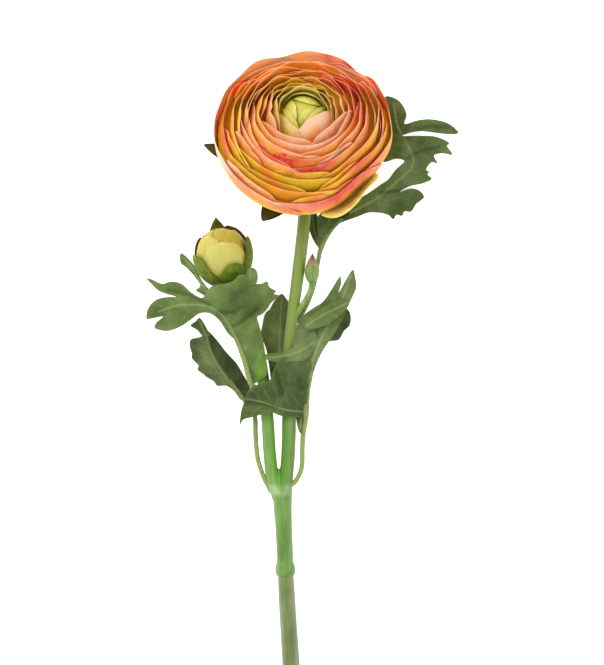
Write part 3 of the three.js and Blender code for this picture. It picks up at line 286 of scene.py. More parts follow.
OVER_BUD_LEAF = {"blade": {
    "fresh": [(-18.2, 10), (-18.4, 15), (-19, 21), (-20, 30)],
    "creases": [
        [(-31.3, 36.1), (-26, 39.5), (-20.6, 44)], [(-38, 43), (-32, 42.5), (-27.5, 45)],
        [(-42, 46), (-52, 50.5), (-61, 52.5)],
    ],
    "outline": [
        (-24.5, 10), (-26.5, 19), (-28.5, 24.5), (-30.5, 29.5), (-34, 33), (-37.5, 38.5), (-42, 42),
        (-46.5, 42), (-51, 39), (-55.5, 36), (-61, 34), (-65.5, 34.5), (-67.5, 35.5), (-66.5, 38),
        (-63.5, 40.5), (-69.5, 39.5), (-71, 39.5), (-70.5, 44), (-67, 48), (-61, 49.5), (-57.5, 49.5),
        (-65, 52), (-68.5, 55), (-71, 58), (-68.5, 57.5), (-64, 55.5), (-59.5, 56.5), (-55, 55.5),
        (-50.5, 51.5), (-45.5, 49), (-43.5, 52), (-40.5, 54.5), (-34.5, 55.5), (-31, 57), (-28.5, 59.5),
        (-25.5, 59), (-24, 56), (-18.5, 55.5), (-16, 56.5), (-15, 54), (-12, 52), (-13, 51), (-10.5, 50),
        (-14, 47), (-16, 44), (-18.5, 41.5), (-20.5, 40.5), (-19.6, 36.5), (-18.2, 31), (-17.2, 25.5),
        (-16.3, 19.5), (-16.2, 14.5), (-19, 11.5),
    ],
    "rib": [
        (-23.5, 11.5), (-27, 23), (-31.5, 33), (-36, 40.5), (-41.5, 44.5), (-48.5, 46), (-57.5, 45.5),
        (-65, 43),
    ],
    "heights": [
        (-23.5, 11, 13.5), (-28.5, 25.5, 16.5), (-34, 36.5, 19.5), (-41, 45.5, 23), (-29.5, 57.5, 27),
        (-36.5, 52.5, 26.5), (-40.5, 54, 26.5), (-51, 48, 21), (-71, 57.5, 12), (-71, 40, 9),
        (-66.5, 35, 9), (-55.5, 39, 14.5), (-62, 52.5, 16), (-10.5, 50, 17.5), (-18.5, 42, 16),
        (-16.5, 55.5, 20.5), (-24, 48, 22.5), (-18.4, 32, 16.4), (-16.8, 20, 15.8), (-17, 14, 15.4),
    ],
}, "back_lobe": {
    "outline": [
        (-39.5, 47), (-43.5, 49.5), (-47, 51.5), (-48.5, 52.5), (-46.5, 54.5), (-48.5, 58), (-53, 63),
        (-55.5, 65), (-55.5, 69.5), (-51, 66), (-48.3, 62), (-45.8, 57), (-41.5, 52), (-37.5, 49),
    ],
    "rib": [(-40, 48), (-45.5, 55), (-50.5, 63), (-54.5, 67.5)],
    "heights": [(-39, 47.5, 22.6), (-43, 51.5, 16.8), (-47.5, 58, 10.6), (-55.5, 68.5, 6.5)],
}, "ear_lobe": {
    "outline": [(-26.5, 55.5), (-26, 59.5), (-24, 62.5), (-22, 62.5), (-20.5, 60.5), (-21, 55.5)],
    "rib": [(-24, 56), (-23.5, 62)],
    "heights": [(-24, 55.5, 24), (-23.5, 59, 22.5), (-23, 62.5, 22)],
}}
LOW_LEFT_LEAF = {"blade": {
    "fold": 0.3,
    # Painted shade darkens one side of this blade's midrib, the half turned away from the light
    "shade": 0.55,
    "outline": [
        (-25.5, 1.5), (-28, 2.5), (-31.5, 7), (-35, 9), (-39, 9), (-40.5, 11), (-44, 13), (-45, 14),
        (-48, 16.5), (-47.5, 18), (-50.5, 21.5), (-50.5, 23.5), (-51.5, 27.5), (-51, 30), (-46, 31.5),
        (-43.5, 34), (-40.5, 31.5), (-35, 24.5), (-30, 19), (-26.5, 13), (-24, 8.5), (-24, 3),
    ],
    "rib": [(-25.5, 2.5), (-30, 6.5), (-35, 13.5), (-40, 21.5), (-42.5, 27.5), (-43.5, 32.5)],
    "heights": [
        (-25.5, 3, 9.5), (-33, 11.5, 8.5), (-41, 24.5, 8), (-43.5, 33, 8), (-51, 28.5, 4.5), (-48, 18, 4),
        (-39, 10, 4.5), (-36.5, 27, 4.5), (-29.5, 18, 4.2), (-24.5, 9, 5.5),
    ],
}, "curl": {
    "outline": [
        (-45, 31.5), (-48, 34.5), (-51, 36.5), (-48.5, 38.5), (-47, 40), (-45.5, 38.5), (-44, 35.5),
        (-42, 32),
    ],
    "rib": [(-44, 32), (-45.5, 35.5), (-47, 39)],
    "heights": [(-44, 31.5, 7.8), (-50.5, 36.5, 9), (-46.5, 40, 12), (-44.5, 35.5, 9.5)],
}}
CENTRE_BACK_LEAF = {"blade": {
    "outline": [
        (-9.5, 51), (-13, 47.5), (-15, 44), (-17, 42), (-18.5, 35.5), (-19, 32.5), (-16.5, 25.5),
        (-15, 16.5), (-14, 11), (-10.5, 6.5), (-7, 8), (-5, 15.5), (-3.5, 25.5), (-3, 34.5), (-4.5, 44),
        (-7.5, 49),
    ],
    "rib": [(-10, 7), (-10, 16.5), (-10.5, 27.5), (-10, 39), (-9.5, 48)],
    "heights": [
        (-10, 7, 6.5), (-10, 18.5, 5.5), (-18, 32, 3.5), (-9.5, 50, 3.2), (-15.5, 42.5, 3),
        (-4, 34.5, 3.2), (-10, 32, 5),
    ],
}}
RIGHT_LEAF = {"blade": {
    "tone": 0.14,
    "outline": [
        (0, -4), (0.5, 2.5), (1.5, 11.5), (0, 21), (-2.8, 27), (-3, 33.5), (-1, 39.5), (5, 44.5), (9, 47),
        (13, 52.5), (15.8, 57.2), (17.3, 58.8), (17.6, 55.5), (16.5, 51.5), (19.6, 57), (22, 61),
        (23, 61.9), (24, 58.5), (24.5, 54), (23, 50), (20.5, 45), (18.5, 40), (15, 33.5), (9, 24.5),
        (5.5, 16.5), (3.5, 7), (2, -4),
    ],
    "rib": [(1, -3), (2.5, 9.5), (5, 21.5), (9.5, 32.5), (14.5, 42.5), (18.5, 50), (22, 59.5)],
    "heights": [
        (1, -4, 11.5), (2.5, 9.5, 13.5), (2.5, 36.5, 12.5), (10, 48, 15), (17, 57.5, 19), (23, 61, 21),
        (23.5, 50.5, 18), (12.5, 36.5, 16), (7, 25.5, 15), (18, 40, 15.5),
    ],
}, "dark_lobe": {
    # Painted shade darkens one side of this lobe's midrib, the half turned away from the light
    "shade": 0.3,
    "outline": [
        (14.5, 45.5), (17.5, 44.5), (20.5, 44), (22, 41), (21.5, 36.5), (19, 34), (16.5, 30), (11.5, 29),
        (8, 24.5), (5, 18), (3, 19), (6, 29), (10.5, 38),
    ],
    "rib": [(4.5, 20), (10, 31.5), (17, 39)],
    "heights": [(4, 19, 13.8), (10, 31.5, 12), (19.5, 38, 8.5), (21.5, 42.5, 9), (15, 44.5, 11)],
}, "folded_lobe": {
    "tone": 0.14,
    "outline": [
        (1.5, 38), (6, 42.5), (12.5, 46.5), (18, 48), (21.5, 48.5), (21, 45.5), (17, 41), (10, 36.5),
        (4.5, 35), (1.5, 35.5),
    ],
    "rib": [(2, 36.5), (8, 40.5), (15, 44), (21, 47)],
    "heights": [(1.5, 36.5, 18), (10, 41.5, 20.5), (18, 45.5, 20), (21.5, 47, 18)],
}, "front_blade": {
    "tone": -0.1,
    "creases": [[(-25, 2), (-18, 0.6), (-12, -1.2)], [(-12, 16), (-10, 10), (-9, 5)]],
    "outline": [
        (-28.5, -9), (-28, -3), (-26.5, 2), (-24.5, 7), (-22, 9), (-18, 10.5), (-15, 11.5), (-13, 16.5),
        (-10, 21.5), (-5.5, 22), (0, 21.5), (3, 19.5), (3, 11.5), (2, 2.5), (2, -4.5), (-5.5, -5),
        (-10, -4.5), (-14.5, -3), (-18.5, -4), (-24, -5.5), (-27, -6.5),
    ],
    "rib": [(1, -2.8), (-7, -2), (-12.5, -0.4), (-18, 1.6), (-25.4, 3)],
    "heights": [
        (-28.5, -8.5, 12), (-26, 2, 15.5), (-18.5, 9.5, 18), (-10, 21, 18), (-1, 20, 16.5),
        (-5.5, 5, 19.5), (-15.5, 0.5, 18.5), (1.5, -3, 12.3), (2.5, 9.5, 14), (-5.5, -4.5, 17),
        (-18.5, -3.5, 17),
    ],
}, "upper_lobe": {
    "tone": 0.08,
    "outline": [
        (-18, 22), (-16, 23.5), (-8, 24.5), (-3, 27.5), (1.5, 31), (5, 34), (7, 31), (5, 25.5), (1.5, 21),
        (-5, 20), (-12, 20),
    ],
    "rib": [(5.5, 29), (-1, 25), (-8.5, 22.5), (-16, 22)],
    "heights": [(-17.5, 22, 18.5), (-8, 23, 18.3), (-1, 25.5, 17.3), (5.5, 29, 15)],
}, "hanging_tip": {
    "outline": [(-2.5, -0.5), (-2.5, -8.5), (-1, -12.5), (0, -9), (1, -1)],
    "rib": [(-0.5, -1), (-1, -11)],
    "heights": [(-0.5, -1, 12), (-1, -12, 13.5)],
}}

# Looks, light and camera
BUMP_DISTANCE = 0.0003
TABLE_HALF = 3.0
LIGHT_AIM = Vector((0, 0.04, 0.02))
FRAME_HEIGHT = 302.6
FRAME_CENTRE = (-0.2, 33.3, 15)
LENS = 400
SENSOR = 36


# Points and curves


def unit(vectors):
    return vectors / np.maximum(np.linalg.norm(vectors, axis=-1, keepdims=True), 1e-9)


def bell(x):
    return np.exp(-(x**2))


def chance(seed):
    """A steady stand-in for chance: the same number between -1 and 1 for the same seed."""
    wild = math.sin(seed * 127.1 + 11.7) * 43758.5453
    return 2 * (wild - math.floor(wild)) - 1


def smooth_curve(points, steps, closed=False):
    """Points along a centripetal Catmull-Rom curve through the given ones, evenly in each span."""
    points = np.array(points, float)
    if closed:
        padded = np.concatenate([points[-1:], points, points[:2]])
    else:
        first = 2 * points[0] - points[1]
        last = 2 * points[-1] - points[-2]
        padded = np.concatenate([[first], points, [last]])
    made = []
    for a, b, c, d in zip(padded, padded[1:], padded[2:], padded[3:]):
        ab, bc, cd = (
            max(np.linalg.norm((q - p)[:3]) ** 0.5, 1e-4) for p, q in ((a, b), (b, c), (c, d))
        )
        leave = bc * ((b - a) / ab - (c - a) / (ab + bc) + (c - b) / bc)
        arrive = bc * ((c - b) / bc - (d - b) / (bc + cd) + (d - c) / cd)
        for k in range(steps):
            t = k / steps
            made.append(
                b + leave * t + (3 * (c - b) - 2 * leave - arrive) * t**2
                + (2 * (b - c) + leave + arrive) * t**3
            )
    if not closed:
        made.append(points[-1])
    return np.array(made)


def near_line(points, line):
    """For each point: its distance from a line of points, how far along it, and on which side."""
    best = np.full(len(points), np.inf)
    along = np.zeros(len(points))
    side = np.ones(len(points))
    run = 0.0
    for a, b in zip(line, line[1:]):
        step = b - a
        length = max(np.linalg.norm(step), 1e-9)
        t = np.clip((points - a) @ step / length**2, 0, 1)
        gap = points - a - t[:, None] * step
        far = np.hypot(gap[:, 0], gap[:, 1])
        closer = far < best
        best = np.where(closer, far, best)
        along = np.where(closer, run + t * length, along)
        side = np.where(closer, np.sign(step[0] * gap[:, 1] - step[1] * gap[:, 0]), side)
        run += length
    return best, along, side


class Egg:
    """An egg of round section, in whose own frame petals and sepals are laid out."""

    def __init__(self, centre, axis, radius, half):
        along = unit(np.array(axis, float))
        right = unit(np.array([1.0, 0, 0]) - along * along[0])
        self.frame = (right, np.cross(along, right), along)
        self.centre = np.array(centre, float)
        self.radius, self.half = radius, half

    def place(self, x, y, z):
        steps = (np.multiply.outer(amount, way) for amount, way in zip((x, y, z), self.frame))
        return self.centre + sum(steps)

    def on_skin(self, meridian, from_foot, off, lift):
        """The point a lift above the skin, at an angle from the foot and off a meridian."""
        x = np.sin(from_foot) * np.cos(off)
        y = np.sin(off)
        z = -np.cos(from_foot) * np.cos(off)
        c, s = math.cos(meridian), math.sin(meridian)
        wide, tall = self.radius + lift, self.half + lift
        return self.place((x * c - y * s) * wide, (x * s + y * c) * wide, z * tall)


# Meshes


def grid_sheet(across, along, place):
    """A sheet laid out by a formula of u, across from -1 to 1, and v, along from 0 to 1."""
    u, v = np.meshgrid(np.linspace(-1, 1, across + 1), np.linspace(0, 1, along + 1))
    u, v = u.ravel(), v.ravel()
    a = (np.arange(along)[:, None] * (across + 1) + np.arange(across)).ravel()
    b = a + across + 1
    return (place(u, v), np.stack([a, a + 1, b + 1, b], axis=1)), u, v


def point_normals(points, faces):
    corners = points[faces]
    normal = np.cross(corners[:, 2] - corners[:, 0], corners[:, -1] - corners[:, 1])
    total = np.zeros_like(points)
    for k in range(faces.shape[1]):
        np.add.at(total, faces[:, k], normal)
    return unit(total)


def thicken(points, faces, thickness):
    """Both faces of a thin sheet, joined round its edge. The upper face's points come first."""
    half = 0.5 * np.broadcast_to(thickness, len(points))[:, None] * point_normals(points, faces)
    below = len(points)
    edges = {}
    for face in faces.tolist():
        for a, b in zip(face, face[1:] + face[:1]):
            if edges.pop((b, a), None) is None:
                edges[a, b] = True
    walls = [(b, a, a + below, b + below) for a, b in edges]
    both = np.concatenate([points + half, points - half])
    return both, faces.tolist() + (faces[:, ::-1] + below).tolist() + walls


def ring_faces(count, sides):
    """Faces of a body of rings of points, which its two end points follow."""
    a = np.arange((count - 1) * sides).reshape(-1, sides)
    b = np.roll(a, -1, axis=1)
    faces = np.stack([a, b, b + sides, a + sides], axis=-1).reshape(-1, 4).tolist()
    start = count * sides
    last = start - sides
    for k in range(sides):
        after = (k + 1) % sides
        faces += [[start, after, k], [start + 1, last + k, last + after]]
    return faces


def tube(route, sides=16, steps=6, wobble=None):
    """A closed tube along a smooth route of x, y, z and radius, and how far along its rings are."""
    line = smooth_curve(route, steps)
    centres, radii = line[:, :3], line[:, 3]
    along = unit(np.gradient(centres, axis=0))
    across = unit(np.cross(along, [0.0, 0, 1]))
    above = np.cross(across, along)
    turn = np.arange(sides) / sides * 2 * math.pi
    length = np.concatenate([[0], np.cumsum(np.linalg.norm(np.diff(centres, axis=0), axis=1))])
    far = radii[:, None] * (1 + (wobble(length[:, None], turn) if wobble else 0))
    ring = (
        centres[:, None]
        + across[:, None] * (far * np.cos(turn))[..., None]
        + above[:, None] * (far * np.sin(turn))[..., None]
    )
    points = np.concatenate([ring.reshape(-1, 3), centres[:1], centres[-1:]])
    # Its rings run the other way round from those of a turned solid
    faces = [face[:1] + face[:0:-1] for face in ring_faces(len(line), sides)]
    return points, faces, length


def turned(shape, section, sides):
    """A solid turned round an egg's axis from a half section of radius and height."""
    section = np.array(section, float)
    turn = np.arange(sides) / sides * 2 * math.pi
    radii, heights = section[1:-1].T
    ring = shape.place(
        np.multiply.outer(radii, np.cos(turn)), np.multiply.outer(radii, np.sin(turn)),
        np.multiply.outer(heights, np.ones(sides)),
    )
    ends = shape.place(np.zeros(2), np.zeros(2), section[[0, -1], 1])
    return np.concatenate([ring.reshape(-1, 3), ends]), ring_faces(len(radii), sides)


def egg_ball(shape, inside, steps, sides):
    """A ball of an egg's own form, a little inside its skin."""
    angles = np.linspace(0, math.pi, steps)
    radius, half = shape.radius - inside, shape.half - inside
    return turned(shape, [(radius * math.sin(a), -half * math.cos(a)) for a in angles], sides)


def write_mark(mesh, name, values):
    layer = mesh.attributes.new(name, "FLOAT", "POINT")
    layer.data.foreach_set("value", values.astype(np.float32))


class Form:
    """Closed shapes in millimetres, joined in one mesh. Each point carries marks, which are
    numbers that the materials read."""

    def __init__(self):
        self.points, self.faces, self.marks, self.count = [], [], [], 0

    def add(self, points, faces, **marks):
        self.points.append(points)
        self.faces += [[corner + self.count for corner in face] for face in faces]
        self.marks.append({name: np.broadcast_to(m, len(points)) for name, m in marks.items()})
        self.count += len(points)

    def add_sheet(self, sheet, thickness, **marks):
        count = len(sheet[0])
        double = {name: np.tile(np.broadcast_to(m, count), 2) for name, m in marks.items()}
        self.add(*thicken(*sheet, thickness), side=np.repeat([1.0, -1.0], count), **double)

    def mesh(self, name):
        mesh = bpy.data.meshes.new(name)
        mesh.from_pydata(np.concatenate(self.points) * MM, [], self.faces)
        for mark in sorted({mark for marks in self.marks for mark in marks}):
            values = [
                marks.get(mark, np.zeros(len(points)))
                for marks, points in zip(self.marks, self.points)
            ]
            write_mark(mesh, mark, np.concatenate(values))
        return mesh


def put(name, data):
    made = bpy.data.objects.new(name, data)
    bpy.context.scene.collection.objects.link(made)
    return made


def finish_piece(mesh, name, material, sharp=50):
    """Puts a mesh in the scene as a piece that stands for the part's solid of the same name."""
    mesh.polygons.foreach_set("use_smooth", np.ones(len(mesh.polygons), bool))
    mesh.set_sharp_from_angle(angle=math.radians(sharp))
    mesh.materials.append(material)
    piece = put(name + "_skin", mesh)
    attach(piece, "root")
    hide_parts(name)


# Materials


def rgb(code):
    """A linear colour from the six hex digits of a screen colour."""
    parts = (int(code[k:k + 2], 16) / 255 for k in (0, 2, 4))
    return (*(p / 12.92 if p <= 0.04045 else ((p + 0.055) / 1.055) ** 2.4 for p in parts), 1)


class Look:
    """A material whose colour and bump are built from nodes. Where a number is asked for, text
    is the name of a mark, and where a colour is asked for, it is the colour's hex digits."""

    def __init__(self, name, roughness, **settings):
        self.material = bpy.data.materials.new(name)
        self.material.use_nodes = True
        self.tree = self.material.node_tree
        self.shader = self.tree.nodes["Principled BSDF"]
        for key, value in {"Roughness": roughness, **settings}.items():
            self.shader.inputs[key.replace("_", " ")].default_value = value
        self.place = self.add("ShaderNodeTexCoord").outputs["Object"]

    def add(self, kind, inputs=(), **settings):
        made = self.tree.nodes.new(kind)
        for key, value in settings.items():
            setattr(made, key, value)
        for key, value in dict(inputs).items():
            if isinstance(value, str):
                value = self.add("ShaderNodeAttribute", attribute_name=value).outputs["Fac"]
            if isinstance(value, bpy.types.NodeSocket):
                self.tree.links.new(value, made.inputs[key])
            else:
                made.inputs[key].default_value = value
        return made

    def math(self, operation, *values):
        return self.add("ShaderNodeMath", enumerate(values), operation=operation).outputs[0]

    def plus(self, a, b):
        return self.math("ADD", a, b)

    def times(self, a, b):
        return self.math("MULTIPLY", a, b)

    def sway(self, value, pattern, amount):
        """Moves a value up where a pattern is over its middle, and down where it is under it."""
        return self.math("MULTIPLY_ADD", self.math("SUBTRACT", pattern, 0.5), amount, value)

    def span(self, value, low, high, to_low=0.0, to_high=1.0):
        """Maps a value from one range to another, and holds it inside."""
        inputs = enumerate((value, low, high, to_low, to_high))
        return self.add("ShaderNodeMapRange", inputs).outputs[0]

    def noise(self, scale, detail, vector=None, stretch=None, roughness=0.5):
        vector = vector or self.place
        if stretch:
            vector = self.add("ShaderNodeMapping", {"Vector": vector, "Scale": stretch}).outputs[0]
        inputs = {"Vector": vector, "Scale": scale, "Detail": detail, "Roughness": roughness}
        return self.add("ShaderNodeTexNoise", inputs).outputs[0]

    def streaks(self, detail, squeeze):
        """Lines that run along a petal. The squeeze draws them out."""
        marks = enumerate(("turn", self.times("rim", squeeze), "seed"))
        return self.noise(1, detail, self.add("ShaderNodeCombineXYZ", marks).outputs[0])

    def ramp(self, value, *stops):
        made = self.add("ShaderNodeValToRGB", {"Fac": value})
        spots = made.color_ramp.elements
        while len(spots) < len(stops):
            spots.new(0.5)
        for spot, (position, code) in zip(spots, stops):
            spot.position = position
            spot.color = rgb(code)
        return made.outputs[0]

    def mix(self, factor, a, b, blend="MIX"):
        a, b = (rgb(colour) if isinstance(colour, str) else colour for colour in (a, b))
        inputs = {0: factor, 6: a, 7: b}
        return self.add("ShaderNodeMix", inputs, data_type="RGBA", blend_type=blend).outputs[2]

    def finish(self, colour, height=None, strength=0):
        self.tree.links.new(colour, self.shader.inputs["Base Color"])
        if height:
            inputs = {"Strength": strength, "Distance": BUMP_DISTANCE, "Height": height}
            bump = self.add("ShaderNodeBump", inputs).outputs[0]
            self.tree.links.new(bump, self.shader.inputs["Normal"])
        return self.material


def petal_look():
    look = Look(
        "ranunculus_petal", 0.62, Subsurface_Weight=0.42, Subsurface_Scale=0.0014,
        Subsurface_Radius=(1, 0.62, 0.28), Sheen_Weight=0.05, Specular_IOR_Level=0.2,
    )
    streaks = look.streaks(4, 0.06)
    cloud = look.noise(160, 3)
    # Warmth runs from golden green deep between the petals to peach at their rims
    warmth = look.math("MULTIPLY_ADD", look.span("rim", 0, 8.5, 1, 0), 0.62, 0.16)
    warmth = look.sway(look.plus(warmth, "tint"), streaks, 0.55)
    colour = look.ramp(
        look.sway(warmth, cloud, 0.35), (0, "D0A80C"), (0.22, "E8B81A"), (0.38, "F0AC30"),
        (0.56, "F0984A"), (0.76, "F0A876"), (1, "EEBA9C"),
    )
    pale = look.mix(look.span(look.plus(streaks, cloud), 0.7, 1.3), "C4B848", "E2D488")
    colour = look.mix("pale", colour, pale)
    flush = look.times("blush", look.span(streaks, 0.3, 0.7, 0.75, 1.25))
    red = look.mix("pink", "E8361C", "D4404C")
    colour = look.mix(look.math("MINIMUM", flush, 1), colour, red)
    # Painted highlight: the last millimetre of each rim is lightened, as where a rim catches the light
    edge = look.times(look.span("rim", 0, 1.1, 0.55, 0), look.span(cloud, 0.3, 0.7))
    colour = look.mix(edge, colour, look.mix("pale", "F8B486", "EEDC78"))
    return look.finish(colour, streaks, 0.35)


def wrapped_look(name, streaks, streak_span, rim_span, *stops):
    """Petals that are still wrapped up: lighter at their rims, and in front."""
    look = Look(name, 0.6, Subsurface_Weight=0.15, Subsurface_Scale=0.004)
    streaks = look.streaks(*streaks)
    tone = look.plus(look.span(streaks, *streak_span), look.span("rim", *rim_span))
    tone = look.plus(tone, look.times("front", 0.4))
    return look.finish(look.ramp(tone, *stops), streaks, 0.3)


def sepal_look(name, deep, light, edge_colour):
    look = Look(name, 0.62, Specular_IOR_Level=0.2)
    spots = look.noise(420, 4)
    colour = look.mix(look.span(spots, 0.3, 0.7), deep, light)
    edge = look.times("edge", look.span(look.noise(150, 2), 0.35, 0.6, 0.5, 1))
    return look.finish(look.mix(edge, colour, edge_colour), spots, 0.4)


def small_bud_look():
    look = Look("ranunculus_small_bud", 0.55)
    grain = look.noise(600, 3, stretch=(1, 0.2, 1))
    green = look.mix(look.span(grain, 0.35, 0.65), "5C7C2C", "869C50")
    tip = look.times("tip", look.span(grain, 0.2, 0.6, 0.7, 1))
    tip_colour = look.mix(look.span("tip", 0.5, 1), "B0705C", "6E3440")
    return look.finish(look.mix(tip, green, tip_colour), grain, 0.4)


def leaf_look(name, deep, mid, light, under):
    look = Look(name, 0.58, Specular_IOR_Level=0.25)
    fine = look.noise(900, 4, roughness=0.6)
    broad = look.span(look.noise(70, 2), 0.25, 0.75, 0.28, 0.72)
    tone = look.plus(look.sway(broad, fine, 0.4), "tone")
    top = look.ramp(tone, (0.3, deep), (0.5, mid), (0.72, light))
    # Painted highlight: grey patches where the leaf would catch the light
    painted_sheen = look.span(look.noise(45, 1), 0.5, 0.72)
    for mark, share, colour in (
        ("fresh", 0.85, "5E8C22"), (painted_sheen, 0.25, "86946A"), ("vein", 0.4, "8A9A62"),
        ("rib", 0.25, "97A66C"), ("edge", 0.35, light),
    ):
        top = look.mix(look.times(mark, share), top, colour)
    bottom = look.mix(look.times("vein", 0.45), under, "78824C")
    colour = look.mix(look.span("side", -0.2, 0.2), bottom, top)
    # Painted shade, on one side of a midrib and along creases, multiplies the colour darker
    colour = look.mix("shade", colour, under, "MULTIPLY")
    stalk = look.mix(look.span(fine, 0.2, 0.8), "748442", "98A866")
    colour = look.mix("stalk", colour, stalk)
    colour = look.mix(look.span(fine, 0.3, 0.7, 0.12, 0), colour, deep)
    return look.finish(colour, fine, 0.3)


def stem_look(name, deep, mid, light, side, stripe, upper=None, branch=None):
    """A stem's green, paler and greyer at its sides with a painted glancing highlight and darker at
    its right edge with painted shade, with a stripe. Both may change up the stem, and the stripe on
    the bud's branch."""
    look = Look(name, 0.5)
    fibres = look.noise(900, 4, stretch=(1, 0.08, 1))
    patches = look.noise(110, 3, stretch=(1, 0.5, 1))
    tone = look.sway(patches, fibres, 0.5)
    colour = look.ramp(tone, (0.3, deep), (0.5, mid), (0.72, light))
    stripes = look.span(look.noise(230, 1, stretch=(1, 0.06, 1)), 0.45, 0.62)
    colour = look.mix(look.times(stripes, 0.35), colour, deep)
    if upper:
        y = look.add("ShaderNodeSeparateXYZ", {0: look.place}).outputs[1]
        mottled = look.mix(look.span(tone, 0.32, 0.85), upper[0], light)
        colour = look.mix(look.span(y, -0.03, 0.03), colour, mottled)
        # A pale collar where the stems part
        off = look.math("ABSOLUTE", look.math("SUBTRACT", y, FORK_Y * MM))
        uneven = look.span(patches, 0.35, 0.6, 0.3, 1)
        collar = look.times(look.span(off, 0.0012, 0.0035, 0.5, 0), uneven)
        colour = look.mix(collar, colour, "B4C29C")
        stripe = look.mix(look.span(y, -0.002, 0.02), stripe, upper[1])
        stripe = look.mix("branch", stripe, branch)
    # Painted highlight: the sides turn paler and greyer, as a round stem looks where light glances off it
    colour = look.mix(look.span(look.math("ABSOLUTE", "across"), 0.4, 1, 0, 0.7), colour, side)
    line = look.times("stripe", look.span(tone, 0.25, 0.6, 0.55, 1))
    colour = look.mix(line, colour, stripe)
    # Painted shade: the stem darkens towards its right edge, on its side away from the light
    colour = look.mix(look.span("across", 0.78, 1, 0, 0.55), colour, deep)
    return look.finish(colour, fibres, 0.4)


# The open bloom


class PinchedEgg(Egg):
    """The bloom's egg, which is pressed in on one side, more and more towards its rim."""

    def place(self, x, y, z):
        radius = np.hypot(x, y)
        high = np.clip((z + self.half - PINCH["from_height"]) / PINCH["rise"], 0, 1)
        facing = np.maximum(0, np.cos(np.arctan2(y, x) - PINCH["angle"])) ** PINCH["power"]
        depth = PINCH["depth"] * high**2 * (radius / self.radius) ** 3 * facing
        keep = 1 - depth / np.maximum(radius, 1)
        return super().place(x * keep, y * keep, z)


bloom_egg = PinchedEgg(
    BLOOM_CENTRE, (0, math.sin(BLOOM_LEAN), math.cos(BLOOM_LEAN)), BLOOM_RADIUS, BLOOM_HALF_DEPTH
)


def bloom_place(radius, angle, height):
    return bloom_egg.place(
        radius * np.cos(angle), radius * np.sin(angle), height - BLOOM_HALF_DEPTH
    )


def egg_in_bloom(radius, half, height):
    return Egg(bloom_place(0.0, 0.0, height), bloom_egg.frame[2], radius, half)


def petal_profile(ring, s, drop=0.0):
    """How far out and how high above the bloom's foot a ring's petals are, s along them."""
    rim_radius = np.interp(ring * LAST_RING, range(len(RIM_RADII)), RIM_RADII)
    rim_height = INNER_RIM_HEIGHT - RIM_DROP * ring**2.2 - drop
    foot_height = FOOT_RISE * (1 - ring)
    curl = INNER_CURL + (OUTER_CURL - INNER_CURL) * ring
    bulge = rim_radius / math.sin(curl)
    rise = (rim_height - foot_height) / (1 - math.cos(curl))
    return bulge * np.sin(curl * s), foot_height + rise * (1 - np.cos(curl * s))


def rim_distance(sheet, across):
    """How far each point of a grid sheet is from the sheet's last row, along its column."""
    rows = sheet[0].reshape(-1, across + 1, 3)
    steps = np.linalg.norm(np.diff(rows, axis=0), axis=2)
    far = np.concatenate([np.cumsum(steps[::-1], axis=0)[::-1], np.zeros((1, across + 1))])
    return far.ravel()


def petal_marks(rim, heading, ring_number, seed):
    """The numbers from which a petal of the bloom takes its colours."""
    turn = np.degrees(heading)

    def off(middle, spread):
        return (((turn - middle + 180) % 360 - 180) / spread) ** 2

    blush, pink = 0.1 * max(0, chance(seed + 9)) * np.exp(-rim / 3), 0
    for ring, middle, spread, strength, pinkness in BLUSHES:
        if ring == ring_number:
            here = strength * np.exp(-off(middle, spread) - rim / 7)
            pink = np.where(here > blush, pinkness, pink)
            blush = np.maximum(blush, here)
    tint = 0.22 * chance(seed + 2)
    for ring, middle, rings, spread, shift in TINTS:
        tint = tint + shift * np.exp(-off(middle, spread) - ((ring - ring_number) / rings) ** 2)
    return {
        "rim": rim, "tint": tint, "seed": seed, "turn": turn * 0.22, "blush": blush,
        "pink": pink, "pale": 0.8 * math.exp(-(ring_number**2)),
    }


def lay_petal(form, size, place, heading, ring_number, seed, thinning=0.5, **own_marks):
    """Adds a petal of the bloom. Its marks follow from its place, but for those of its own."""
    sheet, u, v = grid_sheet(*size, place)
    marks = petal_marks(rim_distance(sheet, size[0]), heading(u, v), ring_number, seed)
    form.add_sheet(sheet, PETAL_THICKNESS * (1 - thinning * v**8), **{**marks, **own_marks})


def add_petal(form, ring_number, angle, half_angle, lap_by, flat_by, seed, dip=0):
    """A petal of a ring. A dip lets its rim fall away at both ends."""
    outermost = ring_number == LAST_RING
    start, size, corner_cut, corner_power = OUTERMOST_PETAL if outermost else RING_PETAL
    far_drop = np.interp(ring_number, range(len(FAR_SIDE_DROP)), FAR_SIDE_DROP)
    phase = 6 * chance(seed + 5)
    fine_count = 7 + 1.5 * chance(seed + 6)

    def heading(u, v):
        return angle + half_angle * u * (np.minimum(1, 0.8 + 0.6 * v) if outermost else 1)

    def place(u, v):
        turn = heading(u, v)
        drop = far_drop * np.maximum(0, np.sin(turn)) ** 2 + RIM_SHIFT * chance(seed + 3)
        drop = drop + RIM_TILT * chance(seed + 4) * u + dip * u**4
        along = (start + (1 - start) * v) * (1 - corner_cut * np.abs(u) ** corner_power * v)
        radius, height = petal_profile(ring_number / LAST_RING, along, drop)
        wave = v**3 * np.sin(u * 3.4 + phase)
        fine = v**4 * (np.sin(u * fine_count + 2 * phase) + 0.7 * np.sin(u * 12 + 5 * phase))
        lap = lap_by * u + flat_by * (u * u - 0.4)
        if outermost:
            lap = lap * np.minimum(1, 3 * v) * 0.5 - 0.8 * np.maximum(0, 1 - 3 * v)
        roll = 0.35 * np.maximum(0, (v - 0.85) / 0.15) ** 2
        out = RIM_WAVE[0] * wave + FINE_WAVE[0] * fine
        up = RIM_WAVE[1] * wave + FINE_WAVE[1] * fine
        return bloom_place(radius + lap + out + roll, turn, height + up)

    lay_petal(form, size, place, heading, ring_number, seed, thinning=0.55)


